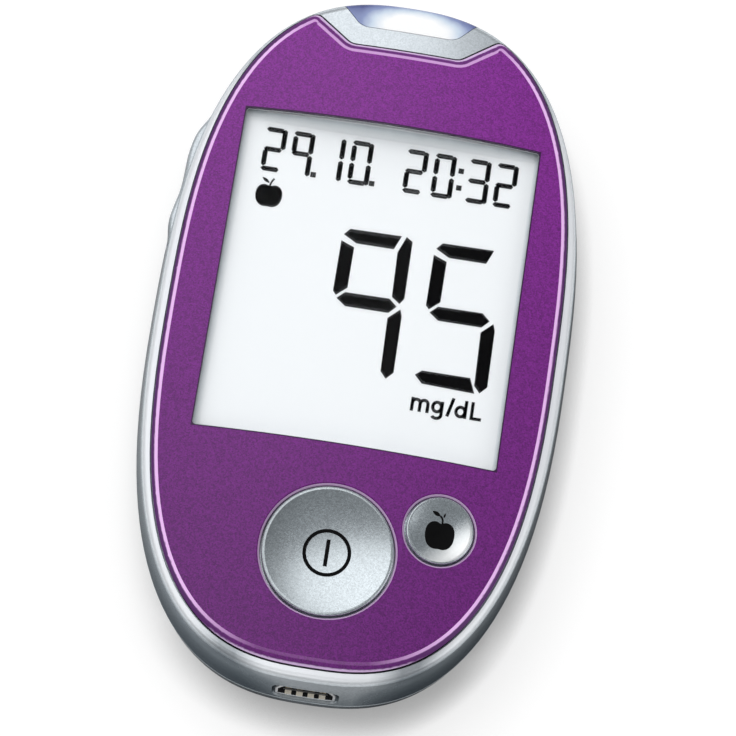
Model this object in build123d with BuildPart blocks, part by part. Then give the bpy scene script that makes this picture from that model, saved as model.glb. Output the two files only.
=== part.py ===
"""Blood glucose meter: a pebble-shaped two-shell case with a crowned front panel, a display, two
front buttons, a side rocker, a strip port at the top end and a data socket at the bottom end.

Frame: the meter lies on its back. +Z comes out of the front panel, +Y points to the strip port and
+X to the right seen from the front. The origin is the bottom centre of the bounding box. Lengths
are in millimetres and angles in degrees.
"""
from build123d import *
from math import asin, cos, degrees, pi, radians, sin, sqrt, tan
import os

os.makedirs("parts", exist_ok=True)

# ---------------------------------------------------------------- driving dimensions
# case: one rounded oval at each height
CASE_HALF_WIDTH = 27.5
CASE_LOW_Y = -47.2
CASE_HIGH_Y = 47.2
CASE_THICKNESS = 18.5         # back to the middle of the front panel
CASE_EXPONENT = 2.6           # 2 is an ellipse, more is squarer
WAIST_Y = 2.0                 # where the ovals are widest
SPLIT_Z = 9.5                 # parting plane of the two shells
SEAM_CHAMFER = 0.18
FRONT_DRAFT = 8.0
REAR_DRAFT = 5.0
REAR_ROUNDING = 6.5
ROUNDING_STEPS = 6            # ovals that shape the rounded back edge
WALL = 1.6
CROWN_RADIUS = 110.0          # the front bows across its width
RIM_ROUNDING = 0.9
FLOOR_THICKNESS = 1.3         # shelf under the panel

# front panel
PANEL_SIDE_INSET = 2.14       # inside the case's widest outline
PANEL_LOW_INSET = 2.8
PANEL_HIGH_INSET = 1.6        # where its oval would end without the notch
PANEL_EXPONENT = 2.7
PANEL_THICKNESS = 1.4
PANEL_PROUD = 0.55            # over the silver rim
PANEL_GAP = 0.22
PANEL_SHOULDER_RADIUS = 1.8   # the front rolls over towards the gap
PANEL_SHOULDER_OVERRUN = 0.6  # part of that roll lost past the panel's edge
PANEL_HOLE_CHAMFER = 0.35
GLUE_GAP = 0.12
NOTCH_INSET = 7.75            # from the top end of the case
NOTCH_HALF_WIDTH = 7.3
NOTCH_FLANK = 37.0
NOTCH_INNER_ROUNDING = 2.2
NOTCH_TIP_ROUNDING = 1.2

# display
WINDOW_WIDTH = 39.2
WINDOW_HEIGHT = 44.1
WINDOW_CENTRE_Y = 6.65
WINDOW_CORNER = 0.5
PANE_GAP = 0.1
PANE_THICKNESS = 1.3
PANE_FLANGE = 1.0             # hidden border under the panel
PANE_FLANGE_THICKNESS = 0.6
DISPLAY_DEPTH = 3.3           # front glass below the middle of the front
GLASS_THICKNESS = 1.1
GLASS_GAP = 0.25
GLASS_LEDGE = 2.4             # front glass past the rear glass, for the contact strips
DIFFUSER_THICKNESS = 1.2
FRAME_WALL = 1.2
FRAME_DROP = 2.0              # top of the frame below the front glass
ZEBRA_DEPTH = 1.6
ZEBRA_LENGTH = 36.0

# main board
BOARD_TOP_Z = 10.3
BOARD_THICKNESS = 1.0
BOARD_GAP = 0.5
CHIP_GAP = 0.05

# front buttons
POWER_Y = -29.5
POWER_RADIUS = 8.32
MARKER_X = 13.58
MARKER_Y = -24.5
MARKER_RADIUS = 4.3
BUTTON_GAP = 0.25
BUTTON_PROUD = 0.25
BUTTON_RIM = 0.4              # narrow ring around the dish
BUTTON_EDGE_ROUNDING = 0.2
POWER_DISH = 0.85
MARKER_DISH = 0.5
FLANGE_REACH = 0.35           # past the hole in the panel
FLANGE_THICKNESS = 0.8
FLANGE_GAP = 0.1
FLANGE_ROOM = 0.45
STEM_RADIUS = 1.6
DOME_HEIGHT = 0.8
DOME_THICKNESS = 0.15
DOME_GAP = 0.1
POWER_DOME_RADIUS = 4.0
MARKER_DOME_RADIUS = 3.0

# side rocker, along the left wall
ROCKER_LOW_Y = 9.5
ROCKER_HIGH_Y = 28.8
ROCKER_LOW_Z = 10.7
ROCKER_HIGH_Z = 13.3
ROCKER_ARM_HIGH_Z = 12.3
ROCKER_DEPTH = 1.5
ROCKER_WINDOW_DEPTH = 2.2
ROCKER_LOW_HUMP = 0.5
ROCKER_DIP = 0.15
ROCKER_HIGH_HUMP = 0.8
ROCKER_EDGE_ROUNDING = 0.35
ROCKER_GAP = 0.3
ROCKER_DIP_Y = 17.8
ROCKER_STEPS = 12             # spans along the humped outline
PIVOT_Y = 19.1
PIVOT_INSET = 2.7             # pin axis inside the wall's outer face
PIN_RADIUS = 0.6
PIN_COLLAR_RADIUS = 0.9
PIN_GAP = 0.05
PIN_LOW_Z = 7.9
PIN_POST_LOW_Z = 5.0
HUB_RADIUS = 1.4
SWITCH_REACH_Y = 5.6          # each side switch from the pivot
SWITCH_DEPTH = 1.5
SWITCH_LENGTH = 3.2
SWITCH_HEIGHT = 1.7
SWITCH_INSET = 4.2855756     # switch bodies' inner faces inside the outline beside the upper switch
PLUNGER_LENGTH = 0.5
PLUNGER_WIDTH = 1.2
PLUNGER_HEIGHT = 0.8
PLUNGER_GAP = 0.25

# strip port
LENS_DEPTH = 4.9              # from the top end of the case
LENS_HALF_WIDTH = 6.3
LENS_FLANK = 46.0
LENS_CORNER = 2.4
LENS_LOW_Z = 11.0
LENS_THICKNESS = 1.5
LENS_GAP = 0.08
SLOT_WIDTH = 8.8
SLOT_HEIGHT = 1.4
SLOT_Z = 13.3
CONNECTOR_WIDTH = 13.6
CONNECTOR_LENGTH = 11.0
CONNECTOR_INSET = 3.2         # from the top end of the case
CONNECTOR_TOP_Z = 14.9
CHANNEL_DEPTH = 8.0
CHANNEL_MOUTH_CHAMFER = 0.4
STRIP_CONTACTS = 5
STRIP_CONTACT_PITCH = 1.6
STRIP_CONTACT_WIDTH = 0.6
STRIP_CONTACT_THICKNESS = 0.2
STRIP_CONTACT_DROP = 0.7      # how far each finger bends into the channel
PORT_LED_X = 8.6
PORT_LED_INSET = 4.8

# data socket
SOCKET_WIDTH = 7.6
SOCKET_TOP_WIDTH = 5.9
SOCKET_HEIGHT = 3.5
SOCKET_WALL = 0.3
SOCKET_LENGTH = 8.6
SOCKET_SETBACK = 0.3
SOCKET_OPENING_MARGIN = 0.45
TONGUE_WIDTH = 5.6
TONGUE_THICKNESS = 1.0
TONGUE_DROP = 0.45            # below the middle of the socket
TONGUE_LENGTH = 6.1
TONGUE_BASE_LENGTH = 1.6
SOCKET_CONTACTS = 4
SOCKET_CONTACT_PITCH = 1.45
SOCKET_CONTACT_WIDTH = 0.8
SOCKET_CONTACT_SETBACK = 0.1  # behind the tip of the tongue
SOCKET_CONTACT_THICKNESS = 0.12

# battery bay and cover
CELL_RADIUS = 10.0
CELL_HEIGHT = 3.2
CELL_GAP = 0.3
CELL_LOW_Z = 1.8
CELL_CAP_RADIUS = 8.9
CELL_CAP_HEIGHT = 0.4
CELL_EDGE_ROUNDING = 0.35
UPPER_CELL_Y = -9.4
CELL_PITCH = 20.9
BAY_CEILING_Z = 6.4
BAY_CEILING_THICKNESS = 1.2
COVER_HALF_WIDTH = 12.5
COVER_HIGH_Y = 2.5
COVER_END_Z = 6.2
COVER_THICKNESS = 1.4
COVER_GAP = 0.15
RAIL_REACH = 0.9
RAIL_THICKNESS = 0.6
RAIL_LOW_Z = 0.7
RAIL_LENGTH = 34.0
RAIL_GAP = 0.15
BAY_WALL = 1.6
WELL_JOIN_WIDTH = 12.0
LATCH_WIDTH = 6.0
LATCH_REACH = 1.2
LATCH_THICKNESS = 0.6
SPRING_THICKNESS = 0.3
SPRING_WIDTH = 3.0
SPRING_BACK_X = -5.0
SPRING_BEND_X = 3.0
SPRING_TIP_X = 8.0
SPRING_PIN_WIDTH = 1.2
SIDE_CONTACT_WIDTH = 3.5
SIDE_CONTACT_THICKNESS = 0.3
SIDE_CONTACT_LOW_Z = 2.5
CONTACT_GAP = 0.05
CONTACT_SLOT_GAP = 0.15
GRIP_RIBS = 5
GRIP_PITCH = 1.6
GRIP_LENGTH = 12.0
GRIP_WIDTH = 0.8
GRIP_DEPTH = 0.35
GRIP_Y = -34.0

# screws
SCREW_SIDE_INSET = 9.3
SCREW_LOW_INSET = 14.7
SCREW_HIGH_INSET = 13.2
SCREW_RADIUS = 0.85
SCREW_HEAD_RADIUS = 1.6
SCREW_HEAD_HEIGHT = 1.0
SCREW_SEAT_Z = 3.8
SCREW_RECESS_LENGTH = 1.9
SCREW_RECESS_WIDTH = 0.4
SCREW_RECESS_DEPTH = 0.5
SCREW_POST_RADIUS = 2.4
SCREW_CLEARANCE = 0.15
SCREW_TIP_Z = 12.8
SCREW_GAP = 0.06
BOSS_RADIUS = 2.1
BOSS_ROOM = 0.5               # notch in the board round each boss
REST_RADIUS = 1.2             # posts the board lies on
REST_SIDE_INSET = 8.0
REST_LOW_Y = -14.0
REST_HIGH_Y = 24.0
REST_END_INSET = 7.2

# bare recess on the back for the rating label
RATING_WIDTH = 28.0
RATING_HEIGHT = 22.0
RATING_Y = 22.0
RATING_DEPTH = 0.25
RATING_CORNER = 2.0

# small components under the board: centre x, centre y, width, length, height
PROCESSOR = (0, 14, 10, 10, 1.4)
MEMORY = (10.5, 27, 5, 4, 1.0)
CRYSTAL = (-9, 15, 2.5, 5, 1.2)
BUZZER = (-10.5, 30, 9, 9, 1.9)
PASSIVE_ROWS = 3
PASSIVES_IN_ROW = 4
PASSIVE_PITCH = 2.6
PASSIVE_X = 11.0
PASSIVE_Y = 7.0

OUTLINE_POINTS = 36
OVERSHOOT = 1.0               # cutting solids reach this far past what they cut

# ---------------------------------------------------------------- derived places
PANEL_HALF_WIDTH = CASE_HALF_WIDTH - PANEL_SIDE_INSET
PANEL_LOW_Y = CASE_LOW_Y + PANEL_LOW_INSET
PANEL_HIGH_Y = CASE_HIGH_Y - PANEL_HIGH_INSET
NOTCH_Y = CASE_HIGH_Y - NOTCH_INSET
DISPLAY_FACE_Z = CASE_THICKNESS - DISPLAY_DEPTH
FRAME_TOP_Z = DISPLAY_FACE_Z - FRAME_DROP
LENS_FRONT_Y = CASE_HIGH_Y - LENS_DEPTH
CONNECTOR_FRONT_Y = CASE_HIGH_Y - CONNECTOR_INSET
SCREW_X = CASE_HALF_WIDTH - SCREW_SIDE_INSET
SCREW_LOW_Y = CASE_LOW_Y + SCREW_LOW_INSET
SCREW_HIGH_Y = CASE_HIGH_Y - SCREW_HIGH_INSET
REST_X = CASE_HALF_WIDTH - REST_SIDE_INSET
LIP_APEX = CASE_THICKNESS - PANEL_PROUD
PANEL_BACK_APEX = CASE_THICKNESS - PANEL_THICKNESS
FLOOR_APEX = PANEL_BACK_APEX - GLUE_GAP
CEILING_APEX = FLOOR_APEX - FLOOR_THICKNESS
TOP_Z = CASE_THICKNESS + OVERSHOOT
BOARD_LOW_Z = BOARD_TOP_Z - BOARD_THICKNESS
POWER_HOLE_RADIUS = POWER_RADIUS + BUTTON_GAP
MARKER_HOLE_RADIUS = MARKER_RADIUS + BUTTON_GAP
LOWER_CELL_Y = UPPER_CELL_Y - CELL_PITCH
SCREW_PLACES = [(x, y) for x in (-SCREW_X, SCREW_X) for y in (SCREW_LOW_Y, SCREW_HIGH_Y)]
REST_PLACES = [(x, y) for x in (-REST_X, REST_X) for y in (REST_LOW_Y, REST_HIGH_Y)]
REST_PLACES.append((0, CASE_HIGH_Y - REST_END_INSET))
SOCKET_LOW_Z = BOARD_TOP_Z + CHIP_GAP
SOCKET_Z = SOCKET_LOW_Z + SOCKET_HEIGHT / 2
CELL_HIGH_Z = CELL_LOW_Z + CELL_HEIGHT
CELL_PLACES = [(0, UPPER_CELL_Y), (0, LOWER_CELL_Y)]
BAY_TOP_Z = BAY_CEILING_Z + BAY_CEILING_THICKNESS
OPENING_HALF_WIDTH = COVER_HALF_WIDTH + COVER_GAP
OPENING_HIGH_Y = COVER_HIGH_Y + COVER_GAP
LATCH_LOW_Z = COVER_THICKNESS - LATCH_THICKNESS
RAIL_HIGH_Y = COVER_HIGH_Y - 4
STEM_LOW_Z = BOARD_TOP_Z + DOME_HEIGHT + DOME_GAP


# ---------------------------------------------------------------- shared forms
def block(low, high, mode=Mode.ADD):
    """A box between two opposite corners."""
    with Locations(tuple((a + b) / 2 for a, b in zip(low, high))):
        Box(*[b - a for a, b in zip(low, high)], mode=mode)


def posts(places, radius, low_z, high_z, mode=Mode.ADD):
    """Upright round posts, or holes, between two heights."""
    with Locations(*[(x, y, (low_z + high_z) / 2) for x, y in places]):
        Cylinder(radius, high_z - low_z, mode=mode)


def oval_points(half_width, low_y, high_y, exponent):
    """Points of an oval that is widest at WAIST_Y."""
    points = []
    for step in range(OUTLINE_POINTS):
        angle = 2 * pi * step / OUTLINE_POINTS
        x_part, y_part = cos(angle), sin(angle)
        scale = (abs(x_part) ** exponent + abs(y_part) ** exponent) ** (-1 / exponent)
        reach = (high_y - WAIST_Y) if y_part > 0 else (WAIST_Y - low_y)
        points.append((half_width * scale * x_part, WAIST_Y + reach * scale * y_part))
    return points


def case_oval(inset, z):
    """The case's outline, moved in by inset, as a face at height z."""
    with BuildSketch(Plane.XY.offset(z)) as sketch:
        with BuildLine():
            Spline(
                *oval_points(
                    CASE_HALF_WIDTH - inset, CASE_LOW_Y + inset, CASE_HIGH_Y - inset, CASE_EXPONENT
                ),
                periodic=True,
            )
        make_face()
    return sketch.sketch


def crown_drop(x):
    """How far the crowned front has fallen at x from the middle."""
    return CROWN_RADIUS - sqrt(CROWN_RADIUS**2 - x**2)


def under_crown(apex):
    """Everything below the crowned surface whose middle line is at height apex."""
    reach = CASE_HALF_WIDTH + 5 * OVERSHOOT
    edge_z = apex - crown_drop(reach)
    with BuildPart() as form:
        with BuildSketch(Plane.XZ):
            with BuildLine():
                Polyline((-reach, edge_z), (-reach, -OVERSHOOT), (reach, -OVERSHOOT), (reach, edge_z))
                ThreePointArc((reach, edge_z), (0, apex), (-reach, edge_z))
            make_face()
        extrude(amount=CASE_HIGH_Y + 5 * OVERSHOOT, both=True)
    return form.part


def front_form(inset, low_z, apex):
    """The front shell's outer shape, moved in by inset, from low_z up to a crown at apex."""
    low_inset = inset + (low_z - SPLIT_Z) * tan(radians(FRONT_DRAFT))
    high_inset = inset + (TOP_Z - SPLIT_Z) * tan(radians(FRONT_DRAFT))
    with BuildPart() as form:
        loft([case_oval(low_inset, low_z), case_oval(high_inset, TOP_Z)], ruled=True)
        add(under_crown(apex), mode=Mode.INTERSECT)
    return form.part


def rear_form(inset, high_z=SPLIT_Z):
    """The rear shell's outer shape, moved in by inset, with its rounded back edge."""
    radius = REAR_ROUNDING - inset
    rounding = []
    for step in range(ROUNDING_STEPS + 1):
        angle = pi / 2 * step / ROUNDING_STEPS
        z = inset + radius * (1 - cos(angle))
        lean = (SPLIT_Z - z) * tan(radians(REAR_DRAFT))
        rounding.append(case_oval(inset + lean + radius * (1 - sin(angle)), z))
    high_lean = (SPLIT_Z - high_z) * tan(radians(REAR_DRAFT))
    with BuildPart() as form:
        loft(rounding)
        loft([rounding[-1], case_oval(inset + high_lean, high_z)], ruled=True)
    return form.part


def bay_outline(front_y, half_width, flank, corner):
    """A notch that is flat at front_y and opens outwards towards the top end."""
    reach = CASE_HIGH_Y + 5 * OVERSHOOT - front_y
    spread = reach / tan(radians(flank))
    with BuildSketch() as sketch:
        Polygon(
            (-half_width, front_y),
            (half_width, front_y),
            (half_width + spread, front_y + reach),
            (-half_width - spread, front_y + reach),
            align=None,
        )
        fillet(sketch.vertices().group_by(Axis.Y)[0], radius=corner)
    return sketch.sketch


def panel_form(grow, low_z, high_z):
    """The panel's outline, moved out by grow, as an upright prism."""
    with BuildPart() as form:
        with BuildSketch(Plane.XY.offset(low_z)):
            with BuildLine():
                Spline(
                    *oval_points(
                        PANEL_HALF_WIDTH + grow, PANEL_LOW_Y - grow, PANEL_HIGH_Y + grow, PANEL_EXPONENT
                    ),
                    periodic=True,
                )
            make_face()
        extrude(amount=high_z - low_z)
        with BuildSketch(Plane.XY.offset(low_z)):
            add(
                bay_outline(
                    NOTCH_Y + grow,
                    NOTCH_HALF_WIDTH - grow * tan(radians(NOTCH_FLANK / 2)),
                    NOTCH_FLANK,
                    NOTCH_INNER_ROUNDING - grow,
                )
            )
        extrude(amount=high_z - low_z, mode=Mode.SUBTRACT)
        upright = form.edges().filter_by(lambda edge: abs((edge @ 1 - edge @ 0).normalized().Z) > 0.999)
        fillet(upright.sort_by(Axis.Y)[-2:], radius=NOTCH_TIP_ROUNDING + grow)
    return form.part


def lens_form(grow):
    """The strip port's outline, moved out by grow, as an upright prism."""
    with BuildPart() as form:
        with BuildSketch(Plane.XY.offset(LENS_LOW_Z - grow)):
            add(
                bay_outline(
                    LENS_FRONT_Y - grow,
                    LENS_HALF_WIDTH + grow * tan(radians(LENS_FLANK / 2)),
                    LENS_FLANK,
                    LENS_CORNER + grow,
                )
            )
        extrude(amount=TOP_Z - LENS_LOW_Z + grow)
    return form.part


def case_edge_x(y, inset):
    """Half the case's width at y, moved in by inset."""
    reach = (CASE_HIGH_Y - WAIST_Y) if y > WAIST_Y else (WAIST_Y - CASE_LOW_Y)
    share = abs(y - WAIST_Y) / (reach - inset)
    return (CASE_HALF_WIDTH - inset) * (1 - share**CASE_EXPONENT) ** (1 / CASE_EXPONENT)


def draft_inset(z):
    """How far the front shell's wall leans in at height z."""
    return (z - SPLIT_Z) * tan(radians(FRONT_DRAFT))


def write(piece, label):
    """Name a finished piece and write it as its own file."""
    piece.part.label = label
    export_step(piece.part, f"parts/{label}.step")


# both shells' edges at the parting plane lean in by the seam chamfer
with BuildPart() as front_outside:
    seam_z = SPLIT_Z + SEAM_CHAMFER
    add(front_form(0, seam_z, LIP_APEX))
    fillet(front_outside.faces().sort_by(Axis.Z)[-1].edges(), radius=RIM_ROUNDING)
    loft([case_oval(SEAM_CHAMFER, SPLIT_Z), case_oval(draft_inset(seam_z), seam_z)], ruled=True)

with BuildPart() as rear_outside:
    seam_z = SPLIT_Z - SEAM_CHAMFER
    add(rear_form(0, seam_z))
    seam_inset = SEAM_CHAMFER * tan(radians(REAR_DRAFT))
    loft([case_oval(seam_inset, seam_z), case_oval(SEAM_CHAMFER, SPLIT_Z)], ruled=True)

PIVOT_X = PIVOT_INSET - case_edge_x(PIVOT_Y, draft_inset(ROCKER_LOW_Z))
PIVOT = (PIVOT_X, PIVOT_Y)
SWITCH_X = SWITCH_INSET - case_edge_x(PIVOT_Y + SWITCH_REACH_Y, 0)

# ---------------------------------------------------------------- front shell
with BuildPart() as panel_pocket:
    add(panel_form(PANEL_GAP, 0, TOP_Z))
    add(under_crown(FLOOR_APEX), mode=Mode.SUBTRACT)

with BuildPart() as rocker_window:
    add(front_form(-OVERSHOOT, SPLIT_Z, TOP_Z))
    add(front_form(ROCKER_WINDOW_DEPTH, SPLIT_Z, TOP_Z), mode=Mode.SUBTRACT)
    block(
        (-CASE_HALF_WIDTH - 2 * OVERSHOOT, ROCKER_LOW_Y - ROCKER_GAP, ROCKER_LOW_Z - ROCKER_GAP),
        (0, ROCKER_HIGH_Y + ROCKER_GAP, ROCKER_HIGH_Z + ROCKER_GAP),
        Mode.INTERSECT,
    )

with BuildPart() as front_room:
    add(front_form(WALL, SPLIT_Z - OVERSHOOT, CEILING_APEX))
    posts(SCREW_PLACES, BOSS_RADIUS, SPLIT_Z, TOP_Z, Mode.SUBTRACT)
    posts([PIVOT], HUB_RADIUS, ROCKER_ARM_HIGH_Z + ROCKER_GAP, TOP_Z, Mode.SUBTRACT)

with BuildPart() as front_housing:
    add(front_outside.part)
    add(front_room.part, mode=Mode.SUBTRACT)
    add(panel_pocket.part, mode=Mode.SUBTRACT)
    # display and button openings in the floor
    with Locations((0, WINDOW_CENTRE_Y, (SPLIT_Z + TOP_Z) / 2)):
        Box(
            WINDOW_WIDTH + 2 * PANE_GAP,
            WINDOW_HEIGHT + 2 * PANE_GAP,
            TOP_Z - SPLIT_Z,
            mode=Mode.SUBTRACT,
        )
    posts([(0, POWER_Y)], POWER_HOLE_RADIUS + FLANGE_REACH + FLANGE_ROOM, SPLIT_Z, TOP_Z, Mode.SUBTRACT)
    posts(
        [(MARKER_X, MARKER_Y)],
        MARKER_HOLE_RADIUS + FLANGE_REACH + FLANGE_ROOM,
        SPLIT_Z,
        TOP_Z,
        Mode.SUBTRACT,
    )
    # lens, rocker and socket openings in the walls
    add(lens_form(LENS_GAP), mode=Mode.SUBTRACT)
    add(rocker_window.part, mode=Mode.SUBTRACT)
    with BuildSketch(Plane.XZ.offset(-CASE_LOW_Y - 3 * WALL)):
        with Locations((0, SOCKET_Z)):
            RectangleRounded(
                SOCKET_WIDTH + 2 * SOCKET_OPENING_MARGIN,
                SOCKET_HEIGHT + SOCKET_OPENING_MARGIN * 4 / 3,
                SOCKET_HEIGHT / 3,
            )
    extrude(amount=5 * WALL, mode=Mode.SUBTRACT)
    # screw and pin holes
    posts(SCREW_PLACES, SCREW_RADIUS + SCREW_GAP, 0, SCREW_TIP_Z + SCREW_GAP, Mode.SUBTRACT)
    posts([PIVOT], PIN_RADIUS + PIN_GAP, 0, ROCKER_ARM_HIGH_Z + FLOOR_THICKNESS, Mode.SUBTRACT)
write(front_housing, "front_housing")

# ---------------------------------------------------------------- rear shell
with BuildPart() as rear_room:
    add(rear_form(WALL, SPLIT_Z + OVERSHOOT))
    block(
        (-OPENING_HALF_WIDTH - BAY_WALL, CASE_LOW_Y - OVERSHOOT, -OVERSHOOT),
        (OPENING_HALF_WIDTH + BAY_WALL, OPENING_HIGH_Y + BAY_WALL, BAY_TOP_Z),
        Mode.SUBTRACT,
    )
    posts(SCREW_PLACES, SCREW_POST_RADIUS, 0, SPLIT_Z, Mode.SUBTRACT)
    posts(REST_PLACES, REST_RADIUS, 0, BOARD_LOW_Z, Mode.SUBTRACT)

with BuildPart() as cover_room:
    block(
        (-OPENING_HALF_WIDTH, CASE_LOW_Y - OVERSHOOT, -OVERSHOOT),
        (OPENING_HALF_WIDTH, OPENING_HIGH_Y, COVER_END_Z + COVER_GAP),
    )
    add(rear_form(COVER_THICKNESS + COVER_GAP), mode=Mode.SUBTRACT)

with BuildPart() as rear_housing:
    add(rear_outside.part)
    add(rear_room.part, mode=Mode.SUBTRACT)
    posts([PIVOT], HUB_RADIUS - PIN_GAP, PIN_POST_LOW_Z, SPLIT_Z)
    # battery opening and the two joined wells
    add(cover_room.part, mode=Mode.SUBTRACT)
    posts(CELL_PLACES, CELL_RADIUS + CELL_GAP, 0, BAY_CEILING_Z, Mode.SUBTRACT)
    block(
        (-WELL_JOIN_WIDTH / 2, LOWER_CELL_Y, 0),
        (WELL_JOIN_WIDTH / 2, UPPER_CELL_Y, BAY_CEILING_Z),
        Mode.SUBTRACT,
    )
    # rail grooves, latch slot
    rail_edge = COVER_HALF_WIDTH + RAIL_REACH + RAIL_GAP
    block(
        (-rail_edge, CASE_LOW_Y - OVERSHOOT, RAIL_LOW_Z - RAIL_GAP),
        (rail_edge, RAIL_HIGH_Y + RAIL_GAP, RAIL_LOW_Z + RAIL_THICKNESS + RAIL_GAP),
        Mode.SUBTRACT,
    )
    block(
        (-LATCH_WIDTH / 2 - COVER_GAP, COVER_HIGH_Y, LATCH_LOW_Z - COVER_GAP),
        (LATCH_WIDTH / 2 + COVER_GAP, COVER_HIGH_Y + LATCH_REACH + COVER_GAP, COVER_THICKNESS + COVER_GAP),
        Mode.SUBTRACT,
    )
    # slots for the battery contacts
    for x, y in CELL_PLACES:
        pin_low_x = SPRING_BACK_X - CONTACT_SLOT_GAP
        block(
            (pin_low_x, y - SPRING_THICKNESS / 2 - CONTACT_SLOT_GAP, BAY_CEILING_Z - OVERSHOOT),
            (
                pin_low_x + SPRING_PIN_WIDTH + 2 * CONTACT_SLOT_GAP,
                y + SPRING_THICKNESS / 2 + CONTACT_SLOT_GAP,
                BAY_TOP_Z + OVERSHOOT,
            ),
            Mode.SUBTRACT,
        )
        strip_x = CELL_RADIUS + CONTACT_GAP
        block(
            (strip_x - CONTACT_SLOT_GAP, y - SIDE_CONTACT_WIDTH / 2 - CONTACT_SLOT_GAP, 0),
            (
                strip_x + SIDE_CONTACT_THICKNESS + CONTACT_SLOT_GAP,
                y + SIDE_CONTACT_WIDTH / 2 + CONTACT_SLOT_GAP,
                BAY_TOP_Z + OVERSHOOT,
            ),
            Mode.SUBTRACT,
        )
    # screw and pin holes, label recess
    posts(SCREW_PLACES, SCREW_RADIUS + SCREW_CLEARANCE, 0, SPLIT_Z + OVERSHOOT, Mode.SUBTRACT)
    posts(SCREW_PLACES, SCREW_HEAD_RADIUS + SCREW_CLEARANCE, -OVERSHOOT, SCREW_SEAT_Z, Mode.SUBTRACT)
    posts([PIVOT], PIN_RADIUS + PIN_GAP, PIN_LOW_Z - PIN_GAP, SPLIT_Z + 2 * OVERSHOOT, Mode.SUBTRACT)
    with BuildSketch(Plane.XY):
        with Locations((0, RATING_Y)):
            RectangleRounded(RATING_WIDTH, RATING_HEIGHT, RATING_CORNER)
    extrude(amount=RATING_DEPTH, mode=Mode.SUBTRACT)
write(rear_housing, "rear_housing")

with BuildPart() as battery_cover:
    add(rear_outside.part)
    add(rear_form(COVER_THICKNESS), mode=Mode.SUBTRACT)
    block(
        (-COVER_HALF_WIDTH, CASE_LOW_Y - OVERSHOOT, -OVERSHOOT),
        (COVER_HALF_WIDTH, COVER_HIGH_Y, COVER_END_Z),
        Mode.INTERSECT,
    )
    block(
        (-COVER_HALF_WIDTH - RAIL_REACH, RAIL_HIGH_Y - RAIL_LENGTH, RAIL_LOW_Z),
        (COVER_HALF_WIDTH + RAIL_REACH, RAIL_HIGH_Y, RAIL_LOW_Z + RAIL_THICKNESS),
    )
    block(
        (-LATCH_WIDTH / 2, COVER_HIGH_Y - LATCH_REACH, LATCH_LOW_Z),
        (LATCH_WIDTH / 2, COVER_HIGH_Y + LATCH_REACH, COVER_THICKNESS),
    )
    with Locations((0, GRIP_Y, 0)):
        with GridLocations(0, GRIP_PITCH, 1, GRIP_RIBS):
            Box(GRIP_LENGTH, GRIP_WIDTH, 2 * GRIP_DEPTH, mode=Mode.SUBTRACT)
write(battery_cover, "battery_cover")

# ---------------------------------------------------------------- front panel and display
with BuildPart() as pane_rebate:
    with Locations((0, WINDOW_CENTRE_Y, CASE_THICKNESS / 2)):
        Box(
            WINDOW_WIDTH + 2 * PANE_FLANGE,
            WINDOW_HEIGHT + 2 * PANE_FLANGE,
            CASE_THICKNESS,
        )
    add(under_crown(PANEL_BACK_APEX + PANE_FLANGE_THICKNESS + PANE_GAP), mode=Mode.INTERSECT)

with BuildPart() as panel_shoulder:
    add(panel_form(PANEL_SHOULDER_OVERRUN, 0, TOP_Z))
    add(under_crown(CASE_THICKNESS), mode=Mode.INTERSECT)
    fillet(panel_shoulder.faces().sort_by(Axis.Z)[-1].edges(), radius=PANEL_SHOULDER_RADIUS)

with BuildPart() as front_panel:
    add(panel_form(0, 0, TOP_Z))
    add(panel_shoulder.part, mode=Mode.INTERSECT)
    add(under_crown(PANEL_BACK_APEX), mode=Mode.SUBTRACT)
    with BuildSketch(Plane.XY):
        with Locations((0, WINDOW_CENTRE_Y)):
            RectangleRounded(WINDOW_WIDTH, WINDOW_HEIGHT, WINDOW_CORNER)
    extrude(amount=TOP_Z, mode=Mode.SUBTRACT)
    add(pane_rebate.part, mode=Mode.SUBTRACT)
    for x, y, radius in ((0, POWER_Y, POWER_HOLE_RADIUS), (MARKER_X, MARKER_Y, MARKER_HOLE_RADIUS)):
        posts([(x, y)], radius, 0, TOP_Z, Mode.SUBTRACT)
        hole_edges = front_panel.edges().filter_by(
            lambda edge: (edge.bounding_box().center() - Vector(x, y, TOP_Z)).length < 2 + OVERSHOOT
        )
        chamfer(hole_edges.sort_by(Axis.Z)[-1], length=PANEL_HOLE_CHAMFER)
write(front_panel, "front_panel")

with BuildPart() as pane_flange:
    with Locations((0, WINDOW_CENTRE_Y, CASE_THICKNESS / 2)):
        Box(
            WINDOW_WIDTH + 2 * PANE_FLANGE - 2 * PANE_GAP,
            WINDOW_HEIGHT + 2 * PANE_FLANGE - 2 * PANE_GAP,
            CASE_THICKNESS,
        )
    add(under_crown(PANEL_BACK_APEX + PANE_FLANGE_THICKNESS), mode=Mode.INTERSECT)

with BuildPart() as display_window:
    with BuildSketch(Plane.XY):
        with Locations((0, WINDOW_CENTRE_Y)):
            RectangleRounded(
                WINDOW_WIDTH - 2 * PANE_GAP, WINDOW_HEIGHT - 2 * PANE_GAP, WINDOW_CORNER - PANE_GAP
            )
    extrude(amount=TOP_Z)
    add(under_crown(CASE_THICKNESS), mode=Mode.INTERSECT)
    add(pane_flange.part)
    add(under_crown(CASE_THICKNESS - PANE_THICKNESS), mode=Mode.SUBTRACT)
write(display_window, "display_window")

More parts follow.
